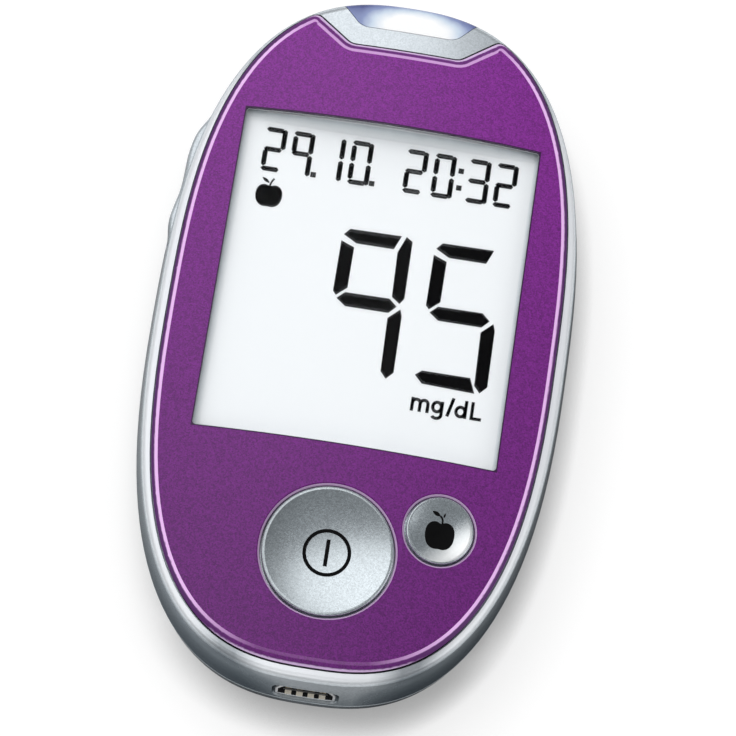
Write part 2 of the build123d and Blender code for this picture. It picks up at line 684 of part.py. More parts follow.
GLASS_HALF_WIDTH = WINDOW_WIDTH / 2 - GLASS_GAP
GLASS_LOW_Y = WINDOW_CENTRE_Y - WINDOW_HEIGHT / 2 + GLASS_GAP
GLASS_HIGH_Y = WINDOW_CENTRE_Y + WINDOW_HEIGHT / 2 - GLASS_GAP
FRONT_GLASS_LOW_Z = DISPLAY_FACE_Z - GLASS_THICKNESS
REAR_GLASS_LOW_Z = FRONT_GLASS_LOW_Z - GLASS_THICKNESS
DIFFUSER_LOW_Z = REAR_GLASS_LOW_Z - DIFFUSER_THICKNESS
ZEBRA_CENTRES_Y = (GLASS_LOW_Y + GLASS_LEDGE / 2, GLASS_HIGH_Y - GLASS_LEDGE / 2)

with BuildPart() as lcd_front_glass:
    block((-GLASS_HALF_WIDTH, GLASS_LOW_Y, FRONT_GLASS_LOW_Z), (GLASS_HALF_WIDTH, GLASS_HIGH_Y, DISPLAY_FACE_Z))
write(lcd_front_glass, "lcd_front_glass")

with BuildPart() as lcd_rear_glass:
    block(
        (-GLASS_HALF_WIDTH, GLASS_LOW_Y + GLASS_LEDGE, REAR_GLASS_LOW_Z),
        (GLASS_HALF_WIDTH, GLASS_HIGH_Y - GLASS_LEDGE, FRONT_GLASS_LOW_Z),
    )
write(lcd_rear_glass, "lcd_rear_glass")

with BuildPart() as display_diffuser:
    block(
        (-GLASS_HALF_WIDTH, GLASS_LOW_Y + GLASS_LEDGE, DIFFUSER_LOW_Z),
        (GLASS_HALF_WIDTH, GLASS_HIGH_Y - GLASS_LEDGE, REAR_GLASS_LOW_Z),
    )
write(display_diffuser, "display_diffuser")

with BuildPart() as display_frame:
    frame_gap = GLASS_GAP + FRAME_WALL
    block(
        (-GLASS_HALF_WIDTH - frame_gap, GLASS_LOW_Y - frame_gap, BOARD_TOP_Z + CHIP_GAP),
        (GLASS_HALF_WIDTH + frame_gap, GLASS_HIGH_Y + frame_gap, FRAME_TOP_Z),
    )
    block(
        (-GLASS_HALF_WIDTH - GLASS_GAP, GLASS_LOW_Y - GLASS_GAP, DIFFUSER_LOW_Z),
        (GLASS_HALF_WIDTH + GLASS_GAP, GLASS_HIGH_Y + GLASS_GAP, FRAME_TOP_Z),
        Mode.SUBTRACT,
    )
    # clear middle under the diffuser, and a slot for each contact strip
    block(
        (-GLASS_HALF_WIDTH + 2 * FRAME_WALL, GLASS_LOW_Y + GLASS_LEDGE + 2 * FRAME_WALL, BOARD_TOP_Z),
        (GLASS_HALF_WIDTH - 2 * FRAME_WALL, GLASS_HIGH_Y - GLASS_LEDGE - 2 * FRAME_WALL, DIFFUSER_LOW_Z),
        Mode.SUBTRACT,
    )
    for y in ZEBRA_CENTRES_Y:
        with Locations((0, y, (BOARD_TOP_Z + DIFFUSER_LOW_Z) / 2)):
            Box(
                ZEBRA_LENGTH + 2 * CONTACT_SLOT_GAP,
                ZEBRA_DEPTH + 2 * CONTACT_SLOT_GAP,
                DIFFUSER_LOW_Z - BOARD_TOP_Z,
                mode=Mode.SUBTRACT,
            )
write(display_frame, "display_frame")

with BuildPart() as zebra_strips:
    for y in ZEBRA_CENTRES_Y:
        with Locations((0, y, (BOARD_TOP_Z + FRONT_GLASS_LOW_Z) / 2)):
            Box(ZEBRA_LENGTH, ZEBRA_DEPTH, FRONT_GLASS_LOW_Z - BOARD_TOP_Z)
write(zebra_strips, "zebra_strips")

# ---------------------------------------------------------------- main board and what it carries
with BuildPart() as main_board:
    extrude(to_extrude=case_oval(WALL + BOARD_GAP, BOARD_LOW_Z), amount=BOARD_THICKNESS)
    posts(SCREW_PLACES, BOSS_RADIUS + BOSS_ROOM, 0, TOP_Z, Mode.SUBTRACT)
    posts([PIVOT], HUB_RADIUS + BOSS_ROOM, 0, TOP_Z, Mode.SUBTRACT)
write(main_board, "main_board")

for label, (x, y, width, length, height) in (
    ("processor_chip", PROCESSOR),
    ("memory_chip", MEMORY),
    ("crystal", CRYSTAL),
    ("buzzer", BUZZER),
):
    with BuildPart() as component:
        with Locations((x, y, BOARD_LOW_Z - CHIP_GAP - height / 2)):
            Box(width, length, height)
        if label == "buzzer":
            posts([(x, y)], width / 8, 0, BOARD_LOW_Z - height, Mode.SUBTRACT)
            chamfer(component.edges().filter_by(Axis.Z), length=width / 8)
        if label == "crystal":
            fillet(component.edges().filter_by(Axis.Z), radius=width / 2.1)
    write(component, label)

with BuildPart() as board_passives:
    with Locations((PASSIVE_X, PASSIVE_Y, BOARD_LOW_Z - CHIP_GAP - 0.3)):
        with GridLocations(PASSIVE_PITCH, PASSIVE_PITCH, PASSIVES_IN_ROW, PASSIVE_ROWS):
            Box(1.6, 0.8, 0.6)
write(board_passives, "board_passives")

# ---------------------------------------------------------------- front buttons and their domes
CROWN_AXIS = Axis((0, 0, CASE_THICKNESS + BUTTON_PROUD - CROWN_RADIUS), (0, 1, 0))


def dish_cutter(x, y, radius, depth):
    """The hollow of a button's face: as deep all round although the front is crowned."""
    top_z = CASE_THICKNESS + BUTTON_PROUD
    along = (radius**2 + depth**2) / (2 * depth)
    net_depth = depth - crown_drop(radius)
    across = (radius**2 + net_depth**2) / (2 * net_depth)
    reach = radius + 2 * OVERSHOOT
    reach_z = top_z - depth + along - sqrt(along**2 - reach**2)
    turn = degrees(reach / (across - depth))
    axis = Axis((0, y, top_z - depth + across), (0, 1, 0))
    with BuildPart() as cutter:
        with BuildSketch(Plane.YZ):
            with BuildLine():
                ThreePointArc((y - reach, reach_z), (y, top_z - depth), (y + reach, reach_z))
                Line((y + reach, reach_z), (y - reach, reach_z))
            make_face()
        revolve(axis=axis, revolution_arc=2 * turn)
    centred = cutter.part.rotate(axis, turn)
    if centred.center().X < -radius / 2:
        centred = centred.rotate(axis, -2 * turn)
    return centred.rotate(CROWN_AXIS, degrees(asin(x / CROWN_RADIUS)))


for label, x, y, radius, dish_depth in (
    ("power_button", 0, POWER_Y, POWER_RADIUS, POWER_DISH),
    ("marker_button", MARKER_X, MARKER_Y, MARKER_RADIUS, MARKER_DISH),
):
    flange_apex = PANEL_BACK_APEX - FLANGE_GAP
    with BuildPart() as button_flange:
        posts([(x, y)], radius + BUTTON_GAP + FLANGE_REACH, 0, TOP_Z)
        add(under_crown(flange_apex), mode=Mode.INTERSECT)
    with BuildPart() as button:
        posts([(x, y)], radius, 0, TOP_Z)
        add(under_crown(CASE_THICKNESS + BUTTON_PROUD), mode=Mode.INTERSECT)
        fillet(button.faces().sort_by(Axis.Z)[-1].edges(), radius=BUTTON_EDGE_ROUNDING)
        add(dish_cutter(x, y, radius - BUTTON_RIM, dish_depth), mode=Mode.SUBTRACT)
        add(button_flange.part)
        add(under_crown(flange_apex - FLANGE_THICKNESS), mode=Mode.SUBTRACT)
        stem_high_z = flange_apex - FLANGE_THICKNESS / 2 - crown_drop(x)
        posts([(x, y)], STEM_RADIUS, STEM_LOW_Z, stem_high_z)
    write(button, label)

for label, x, y, radius in (
    ("power_dome", 0, POWER_Y, POWER_DOME_RADIUS),
    ("marker_dome", MARKER_X, MARKER_Y, MARKER_DOME_RADIUS),
):
    dome_sphere = (radius**2 + DOME_HEIGHT**2) / (2 * DOME_HEIGHT)
    with BuildPart() as dome:
        with Locations((x, y, BOARD_TOP_Z + DOME_HEIGHT - dome_sphere)):
            Sphere(dome_sphere)
            Sphere(dome_sphere - DOME_THICKNESS, mode=Mode.SUBTRACT)
        block((x - radius, y - radius, BOARD_TOP_Z), (x + radius, y + radius, TOP_Z), Mode.INTERSECT)
    write(dome, label)

# ---------------------------------------------------------------- side rocker
ROCKER_KNOTS = (
    (ROCKER_LOW_Y, 0),
    (PIVOT_Y - SWITCH_REACH_Y, ROCKER_LOW_HUMP),
    (ROCKER_DIP_Y, ROCKER_DIP),
    (PIVOT_Y + SWITCH_REACH_Y, ROCKER_HIGH_HUMP),
    (ROCKER_HIGH_Y, 0),
)
BEAM_X = SWITCH_X - SWITCH_DEPTH - PLUNGER_LENGTH - PLUNGER_GAP
BEAM_HALF_LENGTH = SWITCH_REACH_Y + PLUNGER_WIDTH


def rocker_bulge(y):
    """How far the rocker stands past the wall at y: two humps with a dip between."""
    for (low_y, low_bulge), (high_y, high_bulge) in zip(ROCKER_KNOTS, ROCKER_KNOTS[1:]):
        if y <= high_y:
            blend = (1 - cos(pi * (y - low_y) / (high_y - low_y))) / 2
            return low_bulge + (high_bulge - low_bulge) * blend
    return 0


def rocker_outline(z):
    """The rocker bar's outline at height z: humped outside, plain inside."""
    outer = []
    inner = []
    for step in range(ROCKER_STEPS + 1):
        y = ROCKER_LOW_Y + (ROCKER_HIGH_Y - ROCKER_LOW_Y) * step / ROCKER_STEPS
        outer.append((-case_edge_x(y, draft_inset(z)) - rocker_bulge(y), y))
        inner.append((-case_edge_x(y, draft_inset(z) + ROCKER_DEPTH), y))
    with BuildSketch(Plane.XY.offset(z)) as sketch:
        with BuildLine():
            outside = Spline(*outer)
            inside = Spline(*inner)
            Line(outside @ 0, inside @ 0)
            Line(outside @ 1, inside @ 1)
        make_face()
    return sketch.sketch


with BuildPart() as side_rocker:
    loft([rocker_outline(ROCKER_LOW_Z), rocker_outline(ROCKER_HIGH_Z)], ruled=True)
    outer_face = side_rocker.faces().sort_by(Axis.X)[0]
    fillet(outer_face.edges(), radius=ROCKER_EDGE_ROUNDING)
    inner_x = -case_edge_x(ROCKER_LOW_Y, ROCKER_DEPTH / 2)
    with BuildSketch(Plane.XY.offset(ROCKER_LOW_Z)):
        with BuildLine():
            Polyline(
                (inner_x, PIVOT_Y - BEAM_HALF_LENGTH),
                (BEAM_X, PIVOT_Y - BEAM_HALF_LENGTH),
                (BEAM_X, PIVOT_Y + BEAM_HALF_LENGTH),
                (-case_edge_x(PIVOT_Y + BEAM_HALF_LENGTH, ROCKER_DEPTH), PIVOT_Y + BEAM_HALF_LENGTH),
                close=True,
            )
        make_face()
        with Locations(PIVOT):
            Circle(HUB_RADIUS)
            Circle(PIN_RADIUS + PIN_GAP, mode=Mode.SUBTRACT)
    extrude(amount=ROCKER_ARM_HIGH_Z - ROCKER_LOW_Z)
write(side_rocker, "side_rocker")

with BuildPart() as rocker_pin:
    posts([PIVOT], PIN_RADIUS, PIN_LOW_Z, ROCKER_ARM_HIGH_Z + FLOOR_THICKNESS - CONTACT_SLOT_GAP)
    posts([PIVOT], PIN_COLLAR_RADIUS, SPLIT_Z, ROCKER_LOW_Z - ROCKER_GAP)
write(rocker_pin, "rocker_pin")

for label, y in (
    ("side_switch_lower", PIVOT_Y - SWITCH_REACH_Y),
    ("side_switch_upper", PIVOT_Y + SWITCH_REACH_Y),
):
    switch_low_z = BOARD_TOP_Z + CHIP_GAP
    plunger_z = switch_low_z + SWITCH_HEIGHT / 2
    with BuildPart() as switch:
        block(
            (SWITCH_X - SWITCH_DEPTH, y - SWITCH_LENGTH / 2, switch_low_z),
            (SWITCH_X, y + SWITCH_LENGTH / 2, switch_low_z + SWITCH_HEIGHT),
        )
        block(
            (SWITCH_X - SWITCH_DEPTH - PLUNGER_LENGTH, y - PLUNGER_WIDTH / 2, plunger_z - PLUNGER_HEIGHT / 2),
            (SWITCH_X - SWITCH_DEPTH, y + PLUNGER_WIDTH / 2, plunger_z + PLUNGER_HEIGHT / 2),
        )
    write(switch, label)

# ---------------------------------------------------------------- strip port
with BuildPart() as strip_port_lens:
    add(front_outside.part)
    add(lens_form(0), mode=Mode.INTERSECT)
    add(front_form(LENS_THICKNESS, SPLIT_Z, LIP_APEX - LENS_THICKNESS), mode=Mode.SUBTRACT)
    block(
        (-SLOT_WIDTH / 2, LENS_FRONT_Y, SLOT_Z - SLOT_HEIGHT / 2),
        (SLOT_WIDTH / 2, CASE_HIGH_Y + OVERSHOOT, SLOT_Z + SLOT_HEIGHT / 2),
        Mode.SUBTRACT,
    )
write(strip_port_lens, "strip_port_lens")

CONNECTOR_BACK_Y = CONNECTOR_FRONT_Y - CONNECTOR_LENGTH
CHANNEL_TOP_Z = SLOT_Z + SLOT_HEIGHT / 2
GROOVE_TOP_Z = CHANNEL_TOP_Z + STRIP_CONTACT_THICKNESS + CONTACT_GAP
FINGER_FRONT_Y = CONNECTOR_FRONT_Y - 2 * STRIP_CONTACT_PITCH
CONTACT_PLACES = GridLocations(STRIP_CONTACT_PITCH, 0, STRIP_CONTACTS, 1)

with BuildPart() as strip_connector:
    block(
        (-CONNECTOR_WIDTH / 2, CONNECTOR_BACK_Y, BOARD_TOP_Z + CHIP_GAP),
        (CONNECTOR_WIDTH / 2, CONNECTOR_FRONT_Y, CONNECTOR_TOP_Z),
    )
    block(
        (-SLOT_WIDTH / 2, CONNECTOR_FRONT_Y - CHANNEL_DEPTH, SLOT_Z - SLOT_HEIGHT / 2),
        (SLOT_WIDTH / 2, CONNECTOR_FRONT_Y, CHANNEL_TOP_Z),
        Mode.SUBTRACT,
    )
    mouth = strip_connector.faces().sort_by(Axis.Y)[-1].inner_wires()[0]
    chamfer(mouth.edges(), length=CHANNEL_MOUTH_CHAMFER)
    for place in CONTACT_PLACES:
        x = place.position.X
        groove_half_width = STRIP_CONTACT_WIDTH / 2 + CONTACT_SLOT_GAP
        block(
            (x - groove_half_width, CONNECTOR_BACK_Y, CHANNEL_TOP_Z - CONTACT_GAP),
            (x + groove_half_width, FINGER_FRONT_Y + CONTACT_SLOT_GAP, GROOVE_TOP_Z),
            Mode.SUBTRACT,
        )
write(strip_connector, "strip_connector")

with BuildPart() as strip_contacts:
    thickness = STRIP_CONTACT_THICKNESS
    tail_y = CONNECTOR_BACK_Y - CONTACT_GAP
    with BuildSketch(Plane.YZ):
        with BuildLine():
            Polyline(
                (tail_y - thickness, BOARD_TOP_Z + CHIP_GAP),
                (tail_y, BOARD_TOP_Z + CHIP_GAP),
                (tail_y, CHANNEL_TOP_Z),
                (FINGER_FRONT_Y - 2 * thickness, CHANNEL_TOP_Z),
                (FINGER_FRONT_Y - STRIP_CONTACT_PITCH * 2, CHANNEL_TOP_Z - STRIP_CONTACT_DROP),
                (FINGER_FRONT_Y - STRIP_CONTACT_PITCH * 2, CHANNEL_TOP_Z - STRIP_CONTACT_DROP - thickness),
                (FINGER_FRONT_Y, CHANNEL_TOP_Z),
                (FINGER_FRONT_Y, CHANNEL_TOP_Z + thickness),
                (tail_y - thickness, CHANNEL_TOP_Z + thickness),
                close=True,
            )
        make_face()
    contact = extrude(amount=STRIP_CONTACT_WIDTH / 2, both=True, mode=Mode.PRIVATE)
    with CONTACT_PLACES:
        add(contact)
write(strip_contacts, "strip_contacts")

with BuildPart() as port_leds:
    for side in (-1, 1):
        with Locations((side * PORT_LED_X, CASE_HIGH_Y - PORT_LED_INSET, BOARD_TOP_Z + CHIP_GAP + 0.4)):
            Box(1.6, 0.8, 0.8)
write(port_leds, "port_leds")

# ---------------------------------------------------------------- data socket
SOCKET_BACK_Y = CASE_LOW_Y + SOCKET_LENGTH


def socket_outline(inset, y):
    """The socket's outline, moved in by inset: its narrow side faces the front."""
    low_z = SOCKET_LOW_Z + inset
    high_z = SOCKET_LOW_Z + SOCKET_HEIGHT - inset
    with BuildSketch(Plane.XZ.offset(-y)) as sketch:
        with BuildLine():
            Polyline(
                (-SOCKET_WIDTH / 2 + inset, low_z),
                (SOCKET_WIDTH / 2 - inset, low_z),
                (SOCKET_WIDTH / 2 - inset, SOCKET_Z),
                (SOCKET_TOP_WIDTH / 2 - inset, high_z),
                (-SOCKET_TOP_WIDTH / 2 + inset, high_z),
                (-SOCKET_WIDTH / 2 + inset, SOCKET_Z),
                close=True,
            )
        make_face()
    return sketch.sketch


with BuildPart() as socket_shell:
    extrude(to_extrude=socket_outline(0, SOCKET_BACK_Y), amount=SOCKET_LENGTH)
    extrude(to_extrude=socket_outline(SOCKET_WALL, SOCKET_BACK_Y), amount=SOCKET_LENGTH, mode=Mode.SUBTRACT)
    add(front_form(SOCKET_SETBACK, SPLIT_Z, TOP_Z), mode=Mode.INTERSECT)
write(socket_shell, "socket_shell")

with BuildPart() as socket_tongue:
    tongue_base_y = SOCKET_BACK_Y - TONGUE_BASE_LENGTH
    extrude(
        to_extrude=socket_outline(SOCKET_WALL + CONTACT_GAP, SOCKET_BACK_Y), amount=TONGUE_BASE_LENGTH
    )
    tongue_top_z = SOCKET_Z - TONGUE_DROP + TONGUE_THICKNESS / 2
    block(
        (-TONGUE_WIDTH / 2, tongue_base_y - TONGUE_LENGTH, tongue_top_z - TONGUE_THICKNESS),
        (TONGUE_WIDTH / 2, tongue_base_y, tongue_top_z),
    )
write(socket_tongue, "socket_tongue")

with BuildPart() as socket_contacts:
    contact_length = TONGUE_LENGTH - SOCKET_CONTACT_SETBACK
    contact_z = tongue_top_z + SOCKET_CONTACT_THICKNESS / 2
    with Locations((0, tongue_base_y - contact_length / 2, contact_z)):
        with GridLocations(SOCKET_CONTACT_PITCH, 0, SOCKET_CONTACTS, 1):
            Box(SOCKET_CONTACT_WIDTH, contact_length, SOCKET_CONTACT_THICKNESS)
write(socket_contacts, "socket_contacts")

# ---------------------------------------------------------------- cells and their contacts
for label, (x, y) in (("coin_cell_upper", CELL_PLACES[0]), ("coin_cell_lower", CELL_PLACES[1])):
    with BuildPart() as cell:
        posts([(x, y)], CELL_RADIUS, CELL_LOW_Z, CELL_HIGH_Z - CELL_CAP_HEIGHT)
        fillet(cell.edges(), radius=CELL_EDGE_ROUNDING)
        posts([(x, y)], CELL_CAP_RADIUS, CELL_LOW_Z + CELL_CAP_HEIGHT, CELL_HIGH_Z)
    write(cell, label)

with BuildPart() as battery_springs:
    for x, y in CELL_PLACES:
        low_z = BAY_CEILING_Z - SPRING_THICKNESS
        tip_z = CELL_HIGH_Z + CONTACT_GAP
        with BuildSketch(Plane.XZ.offset(-y)):
            with BuildLine():
                Polyline(
                    (SPRING_BACK_X, low_z),
                    (SPRING_BACK_X, BAY_CEILING_Z),
                    (SPRING_BEND_X, BAY_CEILING_Z),
                    (SPRING_TIP_X, tip_z + SPRING_THICKNESS),
                    (SPRING_TIP_X, tip_z),
                    (SPRING_BEND_X, low_z),
                    close=True,
                )
            make_face()
        extrude(amount=SPRING_WIDTH / 2, both=True)
        block(
            (SPRING_BACK_X, y - SPRING_THICKNESS / 2, low_z),
            (SPRING_BACK_X + SPRING_PIN_WIDTH, y + SPRING_THICKNESS / 2, BOARD_LOW_Z - CONTACT_GAP),
        )
write(battery_springs, "battery_springs")

with BuildPart() as battery_side_contacts:
    for x, y in CELL_PLACES:
        block(
            (CELL_RADIUS + CONTACT_GAP, y - SIDE_CONTACT_WIDTH / 2, SIDE_CONTACT_LOW_Z),
            (
                CELL_RADIUS + CONTACT_GAP + SIDE_CONTACT_THICKNESS,
                y + SIDE_CONTACT_WIDTH / 2,
                BOARD_LOW_Z - CONTACT_GAP,
            ),
        )
write(battery_side_contacts, "battery_side_contacts")

# ---------------------------------------------------------------- screws
with BuildPart() as housing_screws:
    head_low_z = SCREW_SEAT_Z - SCREW_HEAD_HEIGHT
    posts(SCREW_PLACES, SCREW_HEAD_RADIUS, head_low_z, SCREW_SEAT_Z)
    posts(SCREW_PLACES, SCREW_RADIUS, SCREW_SEAT_Z, SCREW_TIP_Z)
    with Locations(*[(x, y, head_low_z) for x, y in SCREW_PLACES]):
        Box(SCREW_RECESS_LENGTH, SCREW_RECESS_WIDTH, 2 * SCREW_RECESS_DEPTH, mode=Mode.SUBTRACT)
        Box(SCREW_RECESS_WIDTH, SCREW_RECESS_LENGTH, 2 * SCREW_RECESS_DEPTH, mode=Mode.SUBTRACT)
write(housing_screws, "housing_screws")
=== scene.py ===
"""Looks of a hand-held blood glucose meter lying on its back on a pale floor."""

from math import cos, pi, radians, sin, sqrt, tau

import bpy
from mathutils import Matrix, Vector
from mathutils.bvhtree import BVHTree


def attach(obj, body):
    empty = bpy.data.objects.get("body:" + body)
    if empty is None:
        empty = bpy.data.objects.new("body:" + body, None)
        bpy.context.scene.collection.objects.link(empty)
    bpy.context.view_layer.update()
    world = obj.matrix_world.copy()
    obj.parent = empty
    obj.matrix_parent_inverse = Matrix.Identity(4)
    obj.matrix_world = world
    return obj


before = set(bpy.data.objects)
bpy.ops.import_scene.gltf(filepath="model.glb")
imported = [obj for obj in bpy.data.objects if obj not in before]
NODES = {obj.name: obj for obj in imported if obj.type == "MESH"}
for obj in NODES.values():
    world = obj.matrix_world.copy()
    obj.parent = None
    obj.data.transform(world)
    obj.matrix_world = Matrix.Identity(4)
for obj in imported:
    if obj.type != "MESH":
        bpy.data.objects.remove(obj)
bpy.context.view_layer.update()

# ---------------------------------------------------------------- sizes of the solids that the looks follow
MM = 0.001                      # every size below is in millimetres
FRONT_Z = 18.5                  # top of the crowned front, along its middle
CROWN_RADIUS = 110              # the front curves across X
CASE_HALF_WIDTH = 27.5
CASE_HALF_LENGTH = 47.2
CASE_EXPONENT = 2.6             # of the case's squarish oval
POWER_KEY = (0, -29.5)
POWER_HOLE_RADIUS = 8.92        # to the outer side of the pale ring on the panel
MARKER_KEY = (13.58, -24.5)
MARKER_HOLE_RADIUS = 4.9
MARKER_DISH_RADIUS = 4.1
WINDOW = ((-19.9, 19.9), (-15.7, 29.0))             # takes in the cut edges of the opening
WINDOW_LINE = ((-19.76, 19.76), (-15.56, 28.86))    # a dark line lies just inside this
WINDOW_DEPTH = 6.0
WINDOW_MIDDLE_Y = 6.65
PANE_UNDERSIDE_Z = 17.2         # along the middle; the pane is crowned as the front is
GLASS_Z = 15.2
SEGMENT_LOW, SEGMENT_HIGH = GLASS_Z + 0.005, GLASS_Z + 0.035
SOCKET_PITCH, SOCKET_CONTACTS = 1.45, 4

WHITE = (1, 1, 1, 1)
BLACK = (0, 0, 0, 1)


# ---------------------------------------------------------------- materials
class Finish:
    """A node-built material: textures in object space feed one Principled shader."""

    def __init__(self, name, roughness, metallic=0.0):
        self.material = bpy.data.materials.new(name)
        self.material.use_nodes = True
        self.tree = self.material.node_tree
        self.shader = self.tree.nodes["Principled BSDF"]
        self.place = self.tree.nodes.new("ShaderNodeTexCoord").outputs["Object"]
        self.paint = None
        self.set("Roughness", roughness)
        self.set("Metallic", metallic)

    def set(self, socket, value):
        self.shader.inputs[socket].default_value = value

    def into(self, socket, source):
        self.tree.links.new(source, self.shader.inputs[socket])

    def feed(self, socket, value):
        """Link a socket into another one, or set a plain number or colour on it."""
        if isinstance(value, (int, float, tuple)):
            socket.default_value = value
        else:
            self.tree.links.new(value, socket)

    def split(self, vector, axis):
        parts = self.tree.nodes.new("ShaderNodeSeparateXYZ")
        self.tree.links.new(vector, parts.inputs["Vector"])
        return parts.outputs[axis]

    # patterns
    def noise(self, size, detail=2.0, roughness=0.5, stretch=(1, 1, 1)):
        """Noise whose features are about size millimetres across."""
        place = self.place
        if stretch != (1, 1, 1):
            mapping = self.tree.nodes.new("ShaderNodeMapping")
            mapping.inputs["Scale"].default_value = stretch
            self.tree.links.new(place, mapping.inputs["Vector"])
            place = mapping.outputs["Vector"]
        noise = self.tree.nodes.new("ShaderNodeTexNoise")
        noise.inputs["Scale"].default_value = 1 / (size * MM)
        noise.inputs["Detail"].default_value = detail
        noise.inputs["Roughness"].default_value = roughness
        self.tree.links.new(place, noise.inputs["Vector"])
        return noise.outputs["Fac"]

    def flakes(self, size):
        """A random value from 0 to 1 in each cell of about size millimetres."""
        cells = self.tree.nodes.new("ShaderNodeTexVoronoi")
        cells.inputs["Scale"].default_value = 1 / (size * MM)
        self.tree.links.new(self.place, cells.inputs["Vector"])
        split = self.tree.nodes.new("ShaderNodeSeparateColor")
        self.tree.links.new(cells.outputs["Color"], split.inputs["Color"])
        return split.outputs["Red"]

    # sums
    def maths(self, operation, first, second=0.0):
        sums = self.tree.nodes.new("ShaderNodeMath")
        sums.operation = operation
        self.feed(sums.inputs[0], first)
        self.feed(sums.inputs[1], second)
        return sums.outputs["Value"]

    def chain(self, operation, first, *others):
        for other in others:
            first = self.maths(operation, first, other)
        return first

    def times(self, *values):
        return self.chain("MULTIPLY", *values)

    def plus(self, *values):
        return self.chain("ADD", *values)

    def minus(self, first, second):
        return self.maths("SUBTRACT", first, second)

    def largest(self, *values):
        return self.chain("MAXIMUM", *values)

    def below(self, value, limit):
        """1 where the value is under the limit, else 0."""
        return self.maths("LESS_THAN", value, limit)

    def above(self, value, limit):
        return self.maths("GREATER_THAN", value, limit)

    def remap(self, source, low, high, to_low, to_high):
        """Carry low to to_low and high to to_high, and hold the value beyond both."""
        spread = self.tree.nodes.new("ShaderNodeMapRange")
        for socket, value in (("From Min", low), ("From Max", high), ("To Min", to_low), ("To Max", to_high)):
            spread.inputs[socket].default_value = value
        self.tree.links.new(source, spread.inputs["Value"])
        return spread.outputs["Result"]

    def ramp(self, source, *stops):
        """Colours by value: each stop is (place, colour)."""
        ramp = self.tree.nodes.new("ShaderNodeValToRGB")
        elements = ramp.color_ramp.elements
        while len(elements) < len(stops):
            elements.new(0.5)
        for element, (place, colour) in zip(elements, stops):
            element.position = place
            element.color = colour
        self.tree.links.new(source, ramp.inputs["Fac"])
        return ramp.outputs["Color"]

    def blend(self, share, first, second, kind="MIX"):
        """Two colours mixed by share; each is a socket or a plain colour."""
        mix = self.tree.nodes.new("ShaderNodeMix")
        mix.data_type = "RGBA"
        mix.blend_type = kind
        for place, value in ((0, share), (6, first), (7, second)):
            self.feed(mix.inputs[place], value)
        return mix.outputs[2]

    # places on the part
    def along(self, axis):
        """The place along X, Y or Z in millimetres."""
        return self.maths("DIVIDE", self.split(self.place, axis), MM)

    def off(self, axis, middle):
        """Distance in millimetres from the plane across an axis at middle."""
        return self.maths("ABSOLUTE", self.minus(self.along(axis), middle))

    def away(self, centre):
        """Distance in millimetres from an upright line through (x, y)."""
        x, y = self.off("X", centre[0]), self.off("Y", centre[1])
        return self.maths("SQRT", self.plus(self.times(x, x), self.times(y, y)))

    def within(self, axis, low, high):
        """1 where the place along an axis lies between two values, else 0."""
        place = self.along(axis)
        return self.times(self.above(place, low), self.below(place, high))

    def depth(self):
        """How far under the crowned front the place lies, in millimetres."""
        x = self.along("X")
        drop = self.maths("DIVIDE", self.times(x, x), 2 * CROWN_RADIUS)
        return self.minus(self.minus(FRONT_Z, drop), self.along("Z"))

    def facing(self, axis):
        """One part of the surface's normal."""
        return self.split(self.tree.nodes.new("ShaderNodeNewGeometry").outputs["Normal"], axis)

    def level(self):
        """1 where the surface lies flat, up or down, 0 on an upright wall."""
        return self.maths("ABSOLUTE", self.facing("Z"))

    def tilt(self):
        """How far the surface leans away from the crowned front: 0 level with it, 1 upright."""
        across = self.minus(self.facing("X"), self.maths("DIVIDE", self.along("X"), CROWN_RADIUS))
        upward = self.facing("Y")
        return self.maths("SQRT", self.plus(self.times(across, across), self.times(upward, upward)))

    def bump(self, source, depth):
        """Relief of about depth millimetres."""
        bump = self.tree.nodes.new("ShaderNodeBump")
        bump.inputs["Distance"].default_value = depth * MM
        self.tree.links.new(source, bump.inputs["Height"])
        self.into("Normal", bump.outputs["Normal"])


def srgb(red, green, blue):
    """A shader colour from the 0 to 255 values seen on a screen."""
    def linear(value):
        value = value / 255
        return value / 12.92 if value <= 0.04045 else ((value + 0.055) / 1.055) ** 2.4
    return (linear(red), linear(green), linear(blue), 1.0)


def around(colour, spread):
    """A darker and a lighter shade of a colour."""
    dark = tuple(value * (1 - spread) for value in colour[:3]) + (1.0,)
    light = tuple(min(1.0, value * (1 + spread)) for value in colour[:3]) + (1.0,)
    return dark, light


def plain(name, colour, roughness, metallic=0.0, size=0.5, variation=0.12, relief=0.004):
    """Moulded or pressed stock: small cloudy changes of colour and gloss, fine relief."""
    finish = Finish(name, roughness, metallic)
    dark, light = around(colour, variation)
    cloud = finish.noise(size * 8, 3.0)
    finish.into("Base Color", finish.ramp(cloud, (0.3, dark), (0.7, light)))
    grain = finish.noise(size, 2.0)
    finish.into("Roughness", finish.remap(grain, 0.3, 0.7, roughness * 0.85, roughness * 1.15))
    finish.bump(grain, relief)
    return finish


def flake_paint(name, colour, roughness, metallic, spread, size=0.16):
    """Metallic paint: tiny flakes of lighter and darker colour under a smooth surface."""
    finish = Finish(name, roughness, metallic)
    dark, light = around(colour, spread)
    flakes = finish.flakes(size)
    fine = finish.noise(size * 1.5, 3.0, 0.7)
    speckle = finish.plus(finish.times(flakes, 0.5), finish.times(fine, 0.5))
    finish.paint = finish.ramp(speckle, (0.2, dark), (0.8, light))
    finish.into("Base Color", finish.paint)
    finish.into("Roughness", finish.remap(flakes, 0, 1, roughness * 0.95, roughness * 1.05))
    finish.bump(finish.noise(size * 2.2, 2.0), 0.0002)
    return finish


